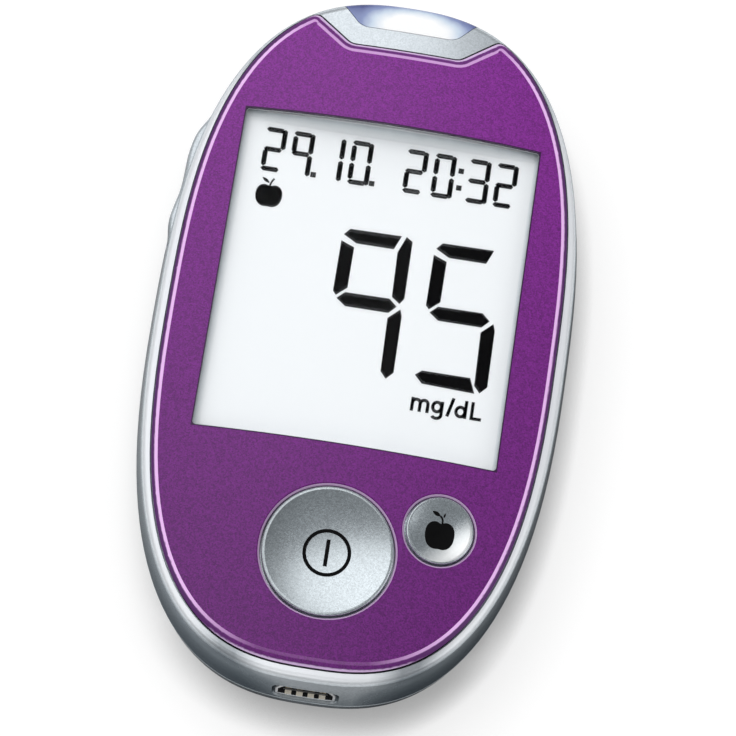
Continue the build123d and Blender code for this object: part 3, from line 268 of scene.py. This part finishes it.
SHELL_METALLIC = 0.6
KEY_METALLIC = 0.92
finishes = {
    "case_silver": flake_paint("case_silver", srgb(208, 215, 220), 0.26, SHELL_METALLIC, 0.13),
    "button_silver": flake_paint("button_silver", srgb(206, 214, 218), 0.26, KEY_METALLIC, 0.16),
    "panel_purple": flake_paint("panel_purple", srgb(107, 30, 120), 0.42, 0.0, 0.36),
    "frame_black": plain("frame_black", srgb(28, 28, 31), 0.5),
    "connector_black": plain("connector_black", srgb(22, 22, 24), 0.42),
    "zebra_rubber": plain("zebra_rubber", srgb(196, 196, 190), 0.65),
    "diffuser_white": plain("diffuser_white", srgb(240, 241, 240), 0.4, variation=0.03),
    "chip_black": plain("chip_black", srgb(36, 37, 40), 0.55, relief=0.01),
    "can_steel": plain("can_steel", srgb(190, 192, 195), 0.3, 0.9),
    "cell_steel": plain("cell_steel", srgb(205, 206, 208), 0.25, 0.95, relief=0.002),
    "spring_steel": plain("spring_steel", srgb(200, 202, 206), 0.28, 0.95, relief=0.002),
    "contact_gold": plain("contact_gold", srgb(232, 214, 170), 0.28, 0.6, relief=0.002),
    "socket_steel": plain("socket_steel", srgb(224, 226, 229), 0.26, 0.6, relief=0.002),
    "screw_steel": plain("screw_steel", srgb(150, 152, 156), 0.34, 0.9),
    "passive_ceramic": plain("passive_ceramic", srgb(160, 134, 104), 0.5),
    "led_white": plain("led_white", srgb(250, 250, 246), 0.3, variation=0.03),
}
# pale colour painted on the window's cut walls so that they look lit
PAINTED_LIT_EDGE = srgb(214, 217, 221)


def window_edges(finish, top):
    """1 on the cut edges of the window opening, from top millimetres under the front downwards."""
    depth = finish.depth()
    inside = finish.times(finish.within("X", *WINDOW[0]), finish.within("Y", *WINDOW[1]))
    return finish.times(inside, finish.below(depth, WINDOW_DEPTH), finish.above(depth, top))


def dress_shell(shell):
    """Silver with painted shade darkening down the walls, a painted white highlight on the rolled rim around the
    panel, and painted pale cut walls at the window.
    """
    level, depth, y = shell.level(), shell.depth(), shell.along("Y")
    # painted shade: the end walls stay light further down near the middle
    lit = shell.remap(shell.off("X", 2), 4, 11, 0.22, 1)
    wall = shell.ramp(
        shell.remap(shell.times(depth, lit), 0, 10, 0, 1),
        (0.07, WHITE), (0.2, (0.5, 0.53, 0.55, 1)), (0.4, (0.24, 0.27, 0.29, 1)), (0.62, (0.12, 0.145, 0.165, 1)))
    # painted shade: level faces keep the paint's colour, sloping walls take the darkening
    painted_wall_shade = shell.blend(shell.remap(level, 0.35, 0.9, 0, 1), wall, WHITE)
    surface = shell.blend(1.0, shell.paint, painted_wall_shade, "MULTIPLY")
    # a soft patch of painted shade on the rim on either side of the socket
    beside = shell.off("X", 1)
    shade = shell.times(
        shell.remap(beside, 6.5, 10.5, 0, 1), shell.remap(beside, 12.5, 17, 1, 0),
        shell.remap(y, -38, -36, 0.72, 0), shell.remap(depth, 1.5, 3, 1, 0))
    surface = shell.blend(shade, surface, srgb(84, 94, 102))
    # a painted white highlight along the rim, which fades out before the strip port
    rim = shell.times(
        shell.remap(level, 0.5, 0.92, 0, 1), shell.below(depth, 1.2),
        shell.remap(y, 33, 37, 1, 0), shell.minus(1, shade))
    surface = shell.blend(rim, surface, srgb(238, 241, 245))
    # the cut walls of the window opening are painted pale, as if lit
    pale = window_edges(shell, 1.2)
    shell.into("Base Color", shell.blend(pale, surface, PAINTED_LIT_EDGE))
    # the painted pale walls and the painted rim highlight lose their metal
    matt = shell.largest(pale, shell.times(rim, 0.7))
    shell.into("Metallic", shell.remap(matt, 0, 1, SHELL_METALLIC, 0))
    shell.set("Specular Tint", (0.3, 0.33, 0.36, 1))


def dress_panel(panel):
    """Purple with painted light making it lighter upwards; painted highlight and shade bands follow the rolled edge,
    painted highlight rings lie round the key holes, and a dark line runs round the window.
    """
    tilt, y = panel.tilt(), panel.along("Y")
    # painted light: the purple grows lighter towards the top
    panel_painted_lighter_upwards = panel.blend(1.0, panel.paint, panel.remap(y, -40, 38, 0.86, 1.42), "MULTIPLY")
    painted_edge_bands = panel.ramp(
        tilt, (0.0, srgb(236, 184, 244)), (0.2, srgb(240, 194, 248)), (0.27, srgb(92, 44, 108)),
        (0.46, srgb(84, 40, 100)), (0.54, srgb(214, 184, 226)), (0.78, srgb(220, 190, 232)), (0.9, srgb(48, 20, 56)))
    # the painted highlight and shade bands are strong down the sides, softer at the notch, faint along the bottom
    # apart from the outermost line
    strength = panel.largest(
        panel.remap(panel.off("X", 0), 7, 17, 0.1, 1),
        panel.remap(y, 30, 34, 0, 0.62),
        panel.remap(tilt, 0.46, 0.54, 0, 1))
    surface = panel.blend(panel.times(panel.remap(tilt, 0.03, 0.06, 0, 1), strength), panel_painted_lighter_upwards, painted_edge_bands)
    # round each key hole the edge bands are cleared and a painted pink highlight ring lies on the hole's edge
    for centre, radius in ((POWER_KEY, POWER_HOLE_RADIUS), (MARKER_KEY, MARKER_HOLE_RADIUS)):
        from_centre = panel.away(centre)
        surface = panel.blend(panel.below(from_centre, radius + 0.1), surface, panel_painted_lighter_upwards)
        surface = panel.blend(panel.below(from_centre, radius - 0.13), surface, srgb(206, 176, 214))
    outline = panel.times(panel.within("X", *WINDOW_LINE[0]), panel.within("Y", *WINDOW_LINE[1]))
    surface = panel.blend(outline, surface, srgb(58, 26, 68))
    # the cut walls of the window opening deeper than 0.55 mm are painted pale, as if lit
    panel.into("Base Color", panel.blend(window_edges(panel, 0.55), surface, PAINTED_LIT_EDGE))
    panel.set("Specular IOR Level", 0.3)


def dress_socket(steel):
    """Bright ends; on the level faces a painted reflection, dark with the contacts mirrored pale in it."""
    reach = SOCKET_PITCH * SOCKET_CONTACTS / 2
    # painted reflection: pale spots where the contacts would be mirrored, on a dark ground
    step = steel.maths("FRACT", steel.maths("DIVIDE", steel.plus(steel.along("X"), reach), SOCKET_PITCH))
    painted_contact_reflections = steel.times(steel.above(step, 0.22), steel.below(step, 0.78), steel.within("X", -reach, reach))
    mirrored = steel.blend(painted_contact_reflections, srgb(26, 26, 29), srgb(246, 238, 222))
    level = steel.remap(steel.level(), 0.7, 0.9, 0, 1)
    steel.into("Base Color", steel.blend(level, srgb(236, 238, 240), mirrored))
    steel.into("Metallic", steel.remap(level, 0, 1, 0.4, 0))


def dress_keys(keys):
    """Dished keys with painted light: painted shade darkens the large one on its left and top, a painted highlight
    pales the small one on its lower right.
    """
    x, y = keys.along("X"), keys.along("Y")
    # painted shade on the large key's left and top
    left = keys.remap(x, -8.5, -2.5, 0.68, 1)
    top = keys.largest(keys.remap(y, -25.5, -21.5, 1, 0.88), keys.remap(x, 8.8, 9, 0, 1))
    keys_with_painted_shade = keys.blend(keys.times(left, top), srgb(10, 12, 14), keys.paint)
    # painted highlight on the small key's lower right, with less metal there
    pale = keys.times(
        keys.remap(keys.minus(x, y), 38.5, 42.5, 0, 0.8), keys.below(keys.away(MARKER_KEY), MARKER_DISH_RADIUS))
    keys.into("Base Color", keys.blend(pale, keys_with_painted_shade, srgb(250, 251, 251)))
    keys.into("Metallic", keys.minus(KEY_METALLIC, keys.times(pale, 0.7)))


def printed_board():
    """Green solder mask over faint traces."""
    board = Finish("board_green", 0.35)
    traces = board.noise(1.6, 1.0, 0.4, (1, 0.25, 1))
    mask, trace = srgb(24, 84, 52), srgb(40, 110, 70)
    board.into("Base Color", board.ramp(traces, (0.46, mask), (0.5, trace), (0.54, mask)))
    board.bump(traces, 0.01)
    return board


def display_glass():
    """Pale ground of a liquid crystal display."""
    glass = Finish("lcd_glass", 0.22)
    sparkle = glass.noise(0.09, 2.0, 0.6)
    glass.into("Base Color", glass.ramp(sparkle, (0.3, srgb(244, 249, 252)), (0.7, srgb(250, 253, 255))))
    glass.bump(glass.noise(0.2, 2.0), 0.0008)
    return glass


def clear_pane():
    """Clear moulding that lets the display show."""
    pane = Finish("window_clear", 0.05)
    pane.into("Base Color", pane.ramp(pane.noise(9, 2.0), (0.3, srgb(236, 240, 246)), (0.7, srgb(246, 248, 252))))
    pane.set("Alpha", 0.04)
    pane.set("Transmission Weight", 1.0)
    pane.bump(pane.noise(6, 1.0), 0.002)
    return pane


def port_lens():
    """Smoky blue, darker towards the ends, with painted shade along the case's outline and a painted lit white
    middle.
    """
    lens = Finish("lens_smoke", 0.2)
    x, y = lens.along("X"), lens.along("Y")
    sideways = lens.largest(lens.remap(x, 0.6, 8.4, 0, 1), lens.remap(x, 0.6, -6.6, 0, 1))
    backwards = lens.remap(y, 43.2, 46.1, 0, 1)
    cloud = lens.remap(lens.noise(1.5, 2.0), 0.3, 0.7, -0.05, 0.05)
    # 1 on the case's outline, less inside it; it paints shade along the outline
    oval = lens.plus(
        lens.maths("POWER", lens.maths("DIVIDE", lens.off("X", 0), CASE_HALF_WIDTH), CASE_EXPONENT),
        lens.maths("POWER", lens.maths("DIVIDE", lens.off("Y", 0), CASE_HALF_LENGTH), CASE_EXPONENT))
    tint_and_painted_light = lens.plus(
        lens.times(sideways, sideways), lens.times(backwards, backwards), cloud,
        lens.remap(oval, 0.966, 0.992, 0, 1.1))
    lens.into("Base Color", lens.ramp(
        lens.times(tint_and_painted_light, 0.5), (0.13, srgb(253, 254, 255)), (0.3, srgb(206, 220, 236)),
        (0.46, srgb(140, 153, 194)), (0.68, srgb(96, 104, 152)), (0.88, srgb(46, 50, 86))))
    lens.set("Specular IOR Level", 0.2)
    lens.bump(lens.noise(2.5, 1.0), 0.004)
    return lens


def ink(name, colour, roughness, variation, shine):
    finish = plain(name, colour, roughness, size=0.3, variation=variation, relief=0.001)
    finish.set("Specular IOR Level", shine)
    return finish


dress_shell(finishes["case_silver"])
dress_panel(finishes["panel_purple"])
dress_socket(finishes["socket_steel"])
dress_keys(finishes["button_silver"])
finishes["board_green"] = printed_board()
finishes["lcd_glass"] = display_glass()
finishes["window_clear"] = clear_pane()
finishes["lens_smoke"] = port_lens()
for node in NODES.values():
    node.data.materials[0] = finishes[node.data.materials[0].name].material
key_ink = ink("print_black", srgb(10, 10, 11), 0.6, 0.2, 0.08)
segment_ink = ink("segment_black", srgb(14, 14, 15), 0.7, 0.15, 0.0)


# ---------------------------------------------------------------- flat shapes: (x, y) points and faces
def band(path, width, closed=False):
    """A stroke of constant width along a path: flat points and quads."""
    flat, faces = [], []
    last = len(path) - 1
    for index, (x, y) in enumerate(path):
        if closed:
            before, after = path[index - 1], path[(index + 1) % len(path)]
        else:
            before, after = path[max(index - 1, 0)], path[min(index + 1, last)]
        along = Vector((after[0] - before[0], after[1] - before[1])).normalized()
        for share in (-0.5, -0.17, 0.17, 0.5):
            flat.append((x - along.y * width * share, y + along.x * width * share))
    runs = range(len(path)) if closed else range(last)
    for index in runs:
        here, there = index * 4, (index + 1) % len(path) * 4
        for row in range(3):
            faces.append([here + row, there + row, there + row + 1, here + row + 1])
    return flat, faces


def disc(outline, centre, rings=7):
    """A filled star-shaped outline: flat points and faces in rings about its centre."""
    flat, faces = [centre], []
    count = len(outline)
    for ring in range(1, rings + 1):
        for x, y in outline:
            flat.append((centre[0] + (x - centre[0]) * ring / rings, centre[1] + (y - centre[1]) * ring / rings))
    for index in range(count):
        after = (index + 1) % count
        faces.append([0, 1 + index, 1 + after])
        for ring in range(1, rings):
            low, high = 1 + (ring - 1) * count, 1 + ring * count
            faces.append([low + index, high + index, high + after, low + after])
    return flat, faces


def bowl(centre, half_width, half_height, start, end, steps=24):
    """Points on an ellipse between two angles in degrees."""
    turns = [radians(start + (end - start) * step / steps) for step in range(steps + 1)]
    return [(centre[0] + half_width * cos(turn), centre[1] + half_height * sin(turn)) for turn in turns]


def apple(centre, half_width, half_height, steps=96):
    """Two-lobed fruit with a dip at its top and a small one at its foot."""
    outline = []
    for step in range(steps):
        turn = tau * step / steps
        reach = 1 - 0.16 * max(0.0, cos(turn - pi / 2)) ** 24 - 0.05 * max(0.0, cos(turn + pi / 2)) ** 30
        squarish = (abs(cos(turn)) ** 2.7 + abs(sin(turn)) ** 2.7) ** (-1 / 2.7)
        narrow = 1 - 0.1 * max(0.0, -sin(turn))
        outline.append((
            centre[0] + half_width * reach * squarish * cos(turn) * narrow,
            centre[1] + half_height * reach * squarish * sin(turn),
        ))
    return disc(outline, centre)


def leaf(base, tip, width, steps=14):
    """A pointed leaf from base to tip."""
    flat, faces = [], []
    run = Vector((tip[0] - base[0], tip[1] - base[1]))
    across = Vector((-run.y, run.x)).normalized() * width / 2
    for step in range(steps + 1):
        share = step / steps
        swell = sin(pi * share) ** 0.8 if 0 < share < 1 else 0.02
        x, y = base[0] + run.x * share, base[1] + run.y * share
        for side in (-1, 0, 1):
            flat.append((x + across.x * swell * side, y + across.y * swell * side))
    for step in range(steps):
        for row in range(2):
            here = step * 3 + row
            faces.append([here, here + 3, here + 4, here + 1])
    return flat, faces


def join(*parts):
    flat, faces = [], []
    for points, polygons in parts:
        start = len(flat)
        flat += points
        faces += [[index + start for index in face] for face in polygons]
    return flat, faces


def upward(flat, faces):
    """The faces, each turned to run anticlockwise seen from above."""
    turned = []
    for face in faces:
        area = 0
        for start, end in zip(face, face[1:] + face[:1]):
            area += flat[start][0] * flat[end][1] - flat[end][0] * flat[start][1]
        turned.append(face if area > 0 else face[::-1])
    return turned


# ---------------------------------------------------------------- thin pieces made from them
def closed_sheet(name, shape, low, high, finish, body):
    """A thin closed piece over a flat shape; low and high give its two heights at each point."""
    flat, faces = shape
    faces = upward(flat, faces)
    count = len(flat)
    vertices = [(x * MM, y * MM, z * MM) for (x, y), z in zip(flat, high)]
    vertices += [(x * MM, y * MM, z * MM) for (x, y), z in zip(flat, low)]
    sides = {}
    for face in faces:
        for start, end in zip(face, face[1:] + face[:1]):
            if (end, start) in sides:
                del sides[(end, start)]
            else:
                sides[(start, end)] = True
    walls = [(end, start, start + count, end + count) for start, end in sides]
    below = [tuple(index + count for index in reversed(face)) for face in faces]
    mesh = bpy.data.meshes.new(name)
    mesh.from_pydata(vertices, [], [tuple(face) for face in faces] + below + walls)
    mesh.materials.append(finish.material)
    mesh.update()
    piece = bpy.data.objects.new(name, mesh)
    bpy.context.scene.collection.objects.link(piece)
    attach(piece, body)


def print_on(node, name, shape, body):
    """Ink that follows a node's upper surface."""
    lift, thickness = 0.002, 0.025
    mesh = NODES[node].data
    tree = BVHTree.FromPolygons([v.co for v in mesh.vertices], [tuple(p.vertices) for p in mesh.polygons])
    low = []
    for x, y in shape[0]:
        hit = tree.ray_cast(Vector((x * MM, y * MM, 0.1)), Vector((0, 0, -1)))
        low.append(hit[0].z / MM + lift)
    closed_sheet(name, shape, low, [z + thickness for z in low], key_ink, body)


def show(name, parts):
    """Dark segments on the display glass."""
    shape = join(*parts)
    count = len(shape[0])
    closed_sheet(name, shape, [SEGMENT_LOW] * count, [SEGMENT_HIGH] * count, segment_ink, "case")


# ---------------------------------------------------------------- marks on the keys
POWER_MARK = (-0.08, -29.66)
BAR_HALF_LENGTH, BAR_STEPS = 1.74, 14
ring = band(bowl(POWER_MARK, 2.84, 2.84, 0, 360, 96)[:-1], 0.46, closed=True)
bar = band([
    (POWER_MARK[0], POWER_MARK[1] + BAR_HALF_LENGTH * (2 * step / BAR_STEPS - 1)) for step in range(BAR_STEPS + 1)
], 0.5)
print_on("power_button", "power_symbol", join(ring, bar), "power_key")

print_on("marker_button", "apple_symbol", join(
    apple((13.64, -25.08), 1.88, 1.87),
    band([(13.78, -23.75), (13.8, -23.4), (13.77, -23.05), (13.62, -22.76), (13.42, -22.56)], 0.24),
    leaf((13.44, -22.58), (12.34, -22.12), 0.5),
    leaf((13.86, -22.74), (13.99, -22.12), 0.24),
), "marker_key")


# ---------------------------------------------------------------- figures and signs on the display
def big_digit(centre_x, lit):
    """Segments of a large seven-part figure with cut corners."""
    w, top, mid, low = 4.7, 14.65, 4.85, -5.15
    shapes = {
        "top": [(-w + 0.3, top - 0.95), (-w + 1.05, top - 0.08), (w - 1.55, top), (w - 2.35, top - 1.95),
                (-w + 2.1, top - 1.95)],
        "upper_right": [(w - 0.9, top), (w - 0.05, top - 0.55), (w, mid + 1.3), (w - 0.55, mid + 0.5),
                        (w - 1.65, mid + 1.3), (w - 1.8, top - 2.3)],
        "upper_left": [(-w + 0.1, top - 1.85), (-w + 1.9, top - 2.55), (-w + 1.85, mid + 1.6), (-w + 0.5, mid + 0.4),
                       (-w + 0.05, mid + 0.9)],
        "middle": [(-w + 0.65, mid), (-w + 1.65, mid + 0.95), (w - 1.9, mid + 1.0), (w - 0.85, mid + 0.05),
                   (w - 1.8, mid - 0.95), (-w + 1.9, mid - 0.95)],
        "lower_right": [(w - 0.3, mid - 0.25), (w, mid - 1.15), (w + 0.05, low + 1.1), (w - 0.85, low + 0.15),
                        (w - 1.65, low + 1.05), (w - 1.8, mid - 1.65)],
        "bottom": [(-w - 0.05, low + 1.3), (-w + 0.8, low + 2.0), (w - 2.3, low + 2.0), (w - 1.5, low),
                   (-w + 1.0, low + 0.25)],
    }
    outlines = [[(centre_x + x, y) for x, y in shapes[name]] for name in lit]
    return [(outline, [list(range(len(outline)))]) for outline in outlines]


FIGURES = {"0": "abcdef", "1": "bc", "2": "abged", "3": "abgcd", "9": "abcfg"}


def small_digit(left, figure):
    """Segments of a small seven-part figure."""
    low, high, width, stroke, gap = 20.78, 27.0, 2.88, 0.66, 0.1
    mid, right, half = (low + high) / 2, left + width, stroke / 2
    cut = half * 0.75
    def across(y):
        return [(left + 0.04, y), (left + half, y + half), (right - stroke, y + half),
                (right - half - gap, y), (right - stroke, y - half), (left + half + 0.1, y - half)]
    def upright(x, start, end):
        return [(x, start + gap), (x + half, start + gap + cut), (x + half, end - gap - cut), (x, end - gap),
                (x - half, end - gap - cut), (x - half, start + gap + cut)]
    shapes = {
        "a": across(high - half), "g": across(mid), "d": across(low + half),
        "b": upright(right - half, mid, high), "c": upright(right - half, low, mid),
        "f": upright(left + half, mid, high - stroke + 0.08), "e": upright(left + half, low + stroke - 0.08, mid),
    }
    return [(shapes[name], [list(range(6))]) for name in FIGURES[figure]]


def dot(x, y):
    half = 0.36
    return [(x - half, y - half), (x + half, y - half), (x + half, y + half), (x - half, y + half)], [[0, 1, 2, 3]]


figures = big_digit(0.1, ("top", "upper_right", "upper_left", "middle", "lower_right"))
figures += big_digit(12.35, ("top", "upper_left", "middle", "lower_right", "bottom"))
for left, figure in (
    (-16.6, "2"), (-12.9, "9"), (-8.75, "1"), (-5.05, "0"), (2.3, "2"), (6.05, "0"), (10.7, "3"), (14.35, "2"),
):
    figures += small_digit(left, figure)
figures += [dot(x, y) for x, y in ((-9.55, 21.25), (-1.75, 21.3), (9.7, 25.0), (9.7, 22.6))]
figures += [
    apple((-14.87, 17.4), 1.76, 1.6),
    band([(-14.95, 18.7), (-14.85, 19.1), (-14.72, 19.45), (-14.48, 19.85)], 0.24),
    leaf((-15.02, 19.18), (-16.05, 19.82), 0.42),
]
show("display_figures", figures)

# the unit of measure as strokes of m, g, a slash, d and L
UNIT_STROKE = 0.42
strokes = [
    [(7.83, -8.7), (7.83, -6.86)],
    [(7.83, -7.6)] + bowl((8.34, -7.58), 0.5, 0.5, 180, 0) + [(8.84, -8.7)],
    [(8.84, -7.6)] + bowl((9.35, -7.58), 0.5, 0.5, 180, 0) + [(9.85, -8.7)],
    [(11.68, -6.9), (11.68, -8.72)] + bowl((11.07, -8.72), 0.61, 0.5, 0, -150)[1:],
    [(12.46, -8.74), (13.06, -6.2)],
    [(14.75, -8.7), (14.75, -6.28)],
    [(15.6, -8.72), (15.6, -6.3)],
    [(15.81, -8.52), (16.88, -8.52)],
]
loops = [bowl((11.06, -7.7), 0.56, 0.64, 0, 360)[:-1], bowl((14.12, -7.88), 0.58, 0.64, 0, 360)[:-1]]
unit = [band(path, UNIT_STROKE) for path in strokes]
unit += [band(path, UNIT_STROKE, closed=True) for path in loops]
show("display_unit", unit)


# ---------------------------------------------------------------- pale border between pane and glass, greyed by painted shade towards the panel
def border_finish():
    """White beside the display, greyed by painted shade towards the panel."""
    border = Finish("window_border", 0.5)
    sideways = border.minus(border.off("X", 0), 19.6)
    lengthways = border.minus(border.off("Y", WINDOW_MIDDLE_Y), 22.05)
    cloud = border.remap(border.noise(2, 1), 0.3, 0.7, -0.05, 0.05)
    outward = border.plus(border.largest(sideways, lengthways), cloud)
    border.into("Base Color", border.ramp(
        border.remap(outward, -0.7, 0.5, 0, 1), (0.0, srgb(240, 245, 248)), (0.4, srgb(222, 229, 233)),
        (0.75, srgb(176, 186, 192)), (1.0, srgb(160, 170, 178))))
    return border


def frame_shape(outer, inner, steps=24):
    """A four-sided frame between two lists of corners: outer and inner points take turns."""
    flat = []
    for side in range(4):
        for step in range(steps):
            for corners in (outer, inner):
                (x0, y0), (x1, y1) = corners[side], corners[(side + 1) % 4]
                flat.append((x0 + (x1 - x0) * step / steps, y0 + (y1 - y0) * step / steps))
    count = len(flat)
    return flat, [
        [index, (index + 2) % count, (index + 3) % count, index + 1] for index in range(0, count, 2)
    ]


border_shape = frame_shape(
    [(-20.35, -16.15), (20.35, -16.15), (20.35, 29.45), (-20.35, 29.45)],
    [(-18.75, -14.75), (19.2, -14.75), (19.2, 27.75), (-18.75, 27.75)],
)
# the outer points lie under the pane, the inner ones just over the glass
slope = [PANE_UNDERSIDE_Z - CROWN_RADIUS + sqrt(CROWN_RADIUS ** 2 - x * x) for x, y in border_shape[0]]
slope[1::2] = [GLASS_Z + 0.05] * (len(slope) // 2)
closed_sheet(
    "window_border", border_shape, [z - 0.03 for z in slope], [z - 0.01 for z in slope],
    border_finish(), "case",
)


# ---------------------------------------------------------------- floor
def to_show(tree, kinds=("Is Glossy Ray", "Is Transmission Ray")):
    """1 for rays from the camera and of the kinds named, 0 for those that only carry light."""
    rays = tree.nodes.new("ShaderNodeLightPath")
    shown = rays.outputs["Is Camera Ray"]
    for kind in kinds:
        either = tree.nodes.new("ShaderNodeMath")
        either.operation = "MAXIMUM"
        tree.links.new(shown, either.inputs[0])
        tree.links.new(rays.outputs[kind], either.inputs[1])
        shown = either.outputs["Value"]
    return shown


def open_to(paper, direction, reach, darkest):
    """How open the floor is towards the light, from darkest beside the meter to 1 away from it; it scales the painted
    shadow.
    """
    towards = paper.tree.nodes.new("ShaderNodeCombineXYZ")
    for socket, value in zip(towards.inputs, direction):
        socket.default_value = value
    contact = paper.tree.nodes.new("ShaderNodeAmbientOcclusion")
    contact.samples = 12
    contact.inputs["Distance"].default_value = reach * MM
    paper.tree.links.new(towards.outputs["Vector"], contact.inputs["Normal"])
    return paper.remap(contact.outputs["AO"], 0.45, 0.97, darkest, 1.0)


def floor_paper():
    """White paper with a tight painted shadow; what the meter mirrors of it has a wider painted shadow."""
    paper = Finish("floor_paper", 0.9)
    light_from = (-0.58, 0.5, 0.64)
    white = paper.ramp(paper.noise(120, 2.0), (0.3, (0.985, 0.985, 0.985, 1)), (0.7, WHITE))
    seen = to_show(paper.tree, ("Is Transmission Ray",))
    tight, wide = open_to(paper, light_from, 6, 0.46), open_to(paper, light_from, 20, 0.25)
    painted_shadow_factor = paper.blend(seen, wide, tight)
    mirrored = paper.blend(to_show(paper.tree), (0.15, 0.15, 0.15, 1), WHITE)
    shown = paper.blend(seen, mirrored, paper.blend(0.5, BLACK, white))
    # painted shadow: the paper's colour and glow are scaled down near the meter
    paper.into("Base Color", paper.blend(1.0, shown, painted_shadow_factor, "MULTIPLY"))
    paper.set("Emission Color", WHITE)
    paper.into("Emission Strength", paper.times(seen, 0.6, painted_shadow_factor))
    paper.set("Specular IOR Level", 0.0)
    return paper


def flat_grid(half_size, cells):
    """A large flat sheet; metres."""
    step = 2 * half_size / cells
    vertices = [(-half_size + step * i, -half_size + step * j, 0) for j in range(cells + 1) for i in range(cells + 1)]
    corners = [j * (cells + 1) + i for j in range(cells) for i in range(cells)]
    mesh = bpy.data.meshes.new("floor")
    mesh.from_pydata(vertices, [], [(low, low + 1, low + cells + 2, low + cells + 1) for low in corners])
    return mesh


floor_mesh = flat_grid(3.0, 6)
floor_mesh.materials.append(floor_paper().material)
floor = bpy.data.objects.new("floor", floor_mesh)
bpy.context.scene.collection.objects.link(floor)


# ---------------------------------------------------------------- light
def studio_world():
    """White seen around the meter, dark overhead; an even fill for the rays that carry light."""
    world = bpy.data.worlds.new("studio")
    world.use_nodes = True
    tree = world.node_tree
    tree.nodes.clear()
    direction = tree.nodes.new("ShaderNodeTexCoord").outputs["Generated"]
    split = tree.nodes.new("ShaderNodeSeparateXYZ")
    tree.links.new(direction, split.inputs["Vector"])
    dome = tree.nodes.new("ShaderNodeValToRGB")
    for element, (place, colour) in zip(dome.color_ramp.elements, ((0.06, WHITE), (0.25, (0.18, 0.19, 0.2, 1)))):
        element.position = place
        element.color = colour
    tree.links.new(split.outputs["Z"], dome.inputs["Fac"])
    seen = tree.nodes.new("ShaderNodeBackground")
    tree.links.new(dome.outputs["Color"], seen.inputs["Color"])
    fill = tree.nodes.new("ShaderNodeBackground")
    fill.inputs["Color"].default_value = WHITE
    fill.inputs["Strength"].default_value = 0.475
    mix = tree.nodes.new("ShaderNodeMixShader")
    tree.links.new(to_show(tree), mix.inputs["Fac"])
    tree.links.new(fill.outputs["Background"], mix.inputs[1])
    tree.links.new(seen.outputs["Background"], mix.inputs[2])
    tree.links.new(mix.outputs["Shader"], tree.nodes.new("ShaderNodeOutputWorld").inputs["Surface"])
    return world


def softbox(name, place, size, power, shape="RECTANGLE", mirrored=True):
    """A soft light aimed at the meter; metres and watts."""
    light = bpy.data.lights.new(name, "AREA")
    light.shape = shape
    light.size, light.size_y = size
    light.energy = power
    lamp = bpy.data.objects.new(name, light)
    lamp.location = place
    lamp.rotation_mode = "QUATERNION"
    lamp.rotation_quaternion = (Vector((0, 0, 0.01)) - Vector(place)).to_track_quat("-Z", "Y")
    lamp.visible_glossy = mirrored
    bpy.context.scene.collection.objects.link(lamp)


bpy.context.scene.world = studio_world()
softbox("main_box", (-0.396, 0.7, 0.9), (1.5, 1.5), 6.6, mirrored=False)
softbox("top_disc", (-0.176, 0.405, 0.897), (0.67, 0.67), 1.385, "DISK")
softbox("left_box", (-0.434, -0.014, 0.546), (0.5, 0.3), 0.54)
softbox("right_box", (0.56, -0.07, 0.406), (0.4, 0.4), 0.55)
softbox("front_box", (-0.04, -0.45, 0.6), (0.3, 0.3), 0.28)

# ---------------------------------------------------------------- camera, fitted to the photo's outlines
camera_data = bpy.data.cameras.new("camera")
camera_data.sensor_width = 36
camera_data.lens = 136.96
camera_data.clip_start = 0.01
camera_data.clip_end = 20
camera = bpy.data.objects.new("camera", camera_data)
camera.location = (-1.0767 * MM, -112.3722 * MM, 360.0375 * MM)
camera.rotation_euler = (radians(17.19873), radians(-3.05663), radians(8.41282))
bpy.context.scene.collection.objects.link(camera)
bpy.context.scene.camera = camera
bpy.context.scene.view_settings.view_transform = "Standard"
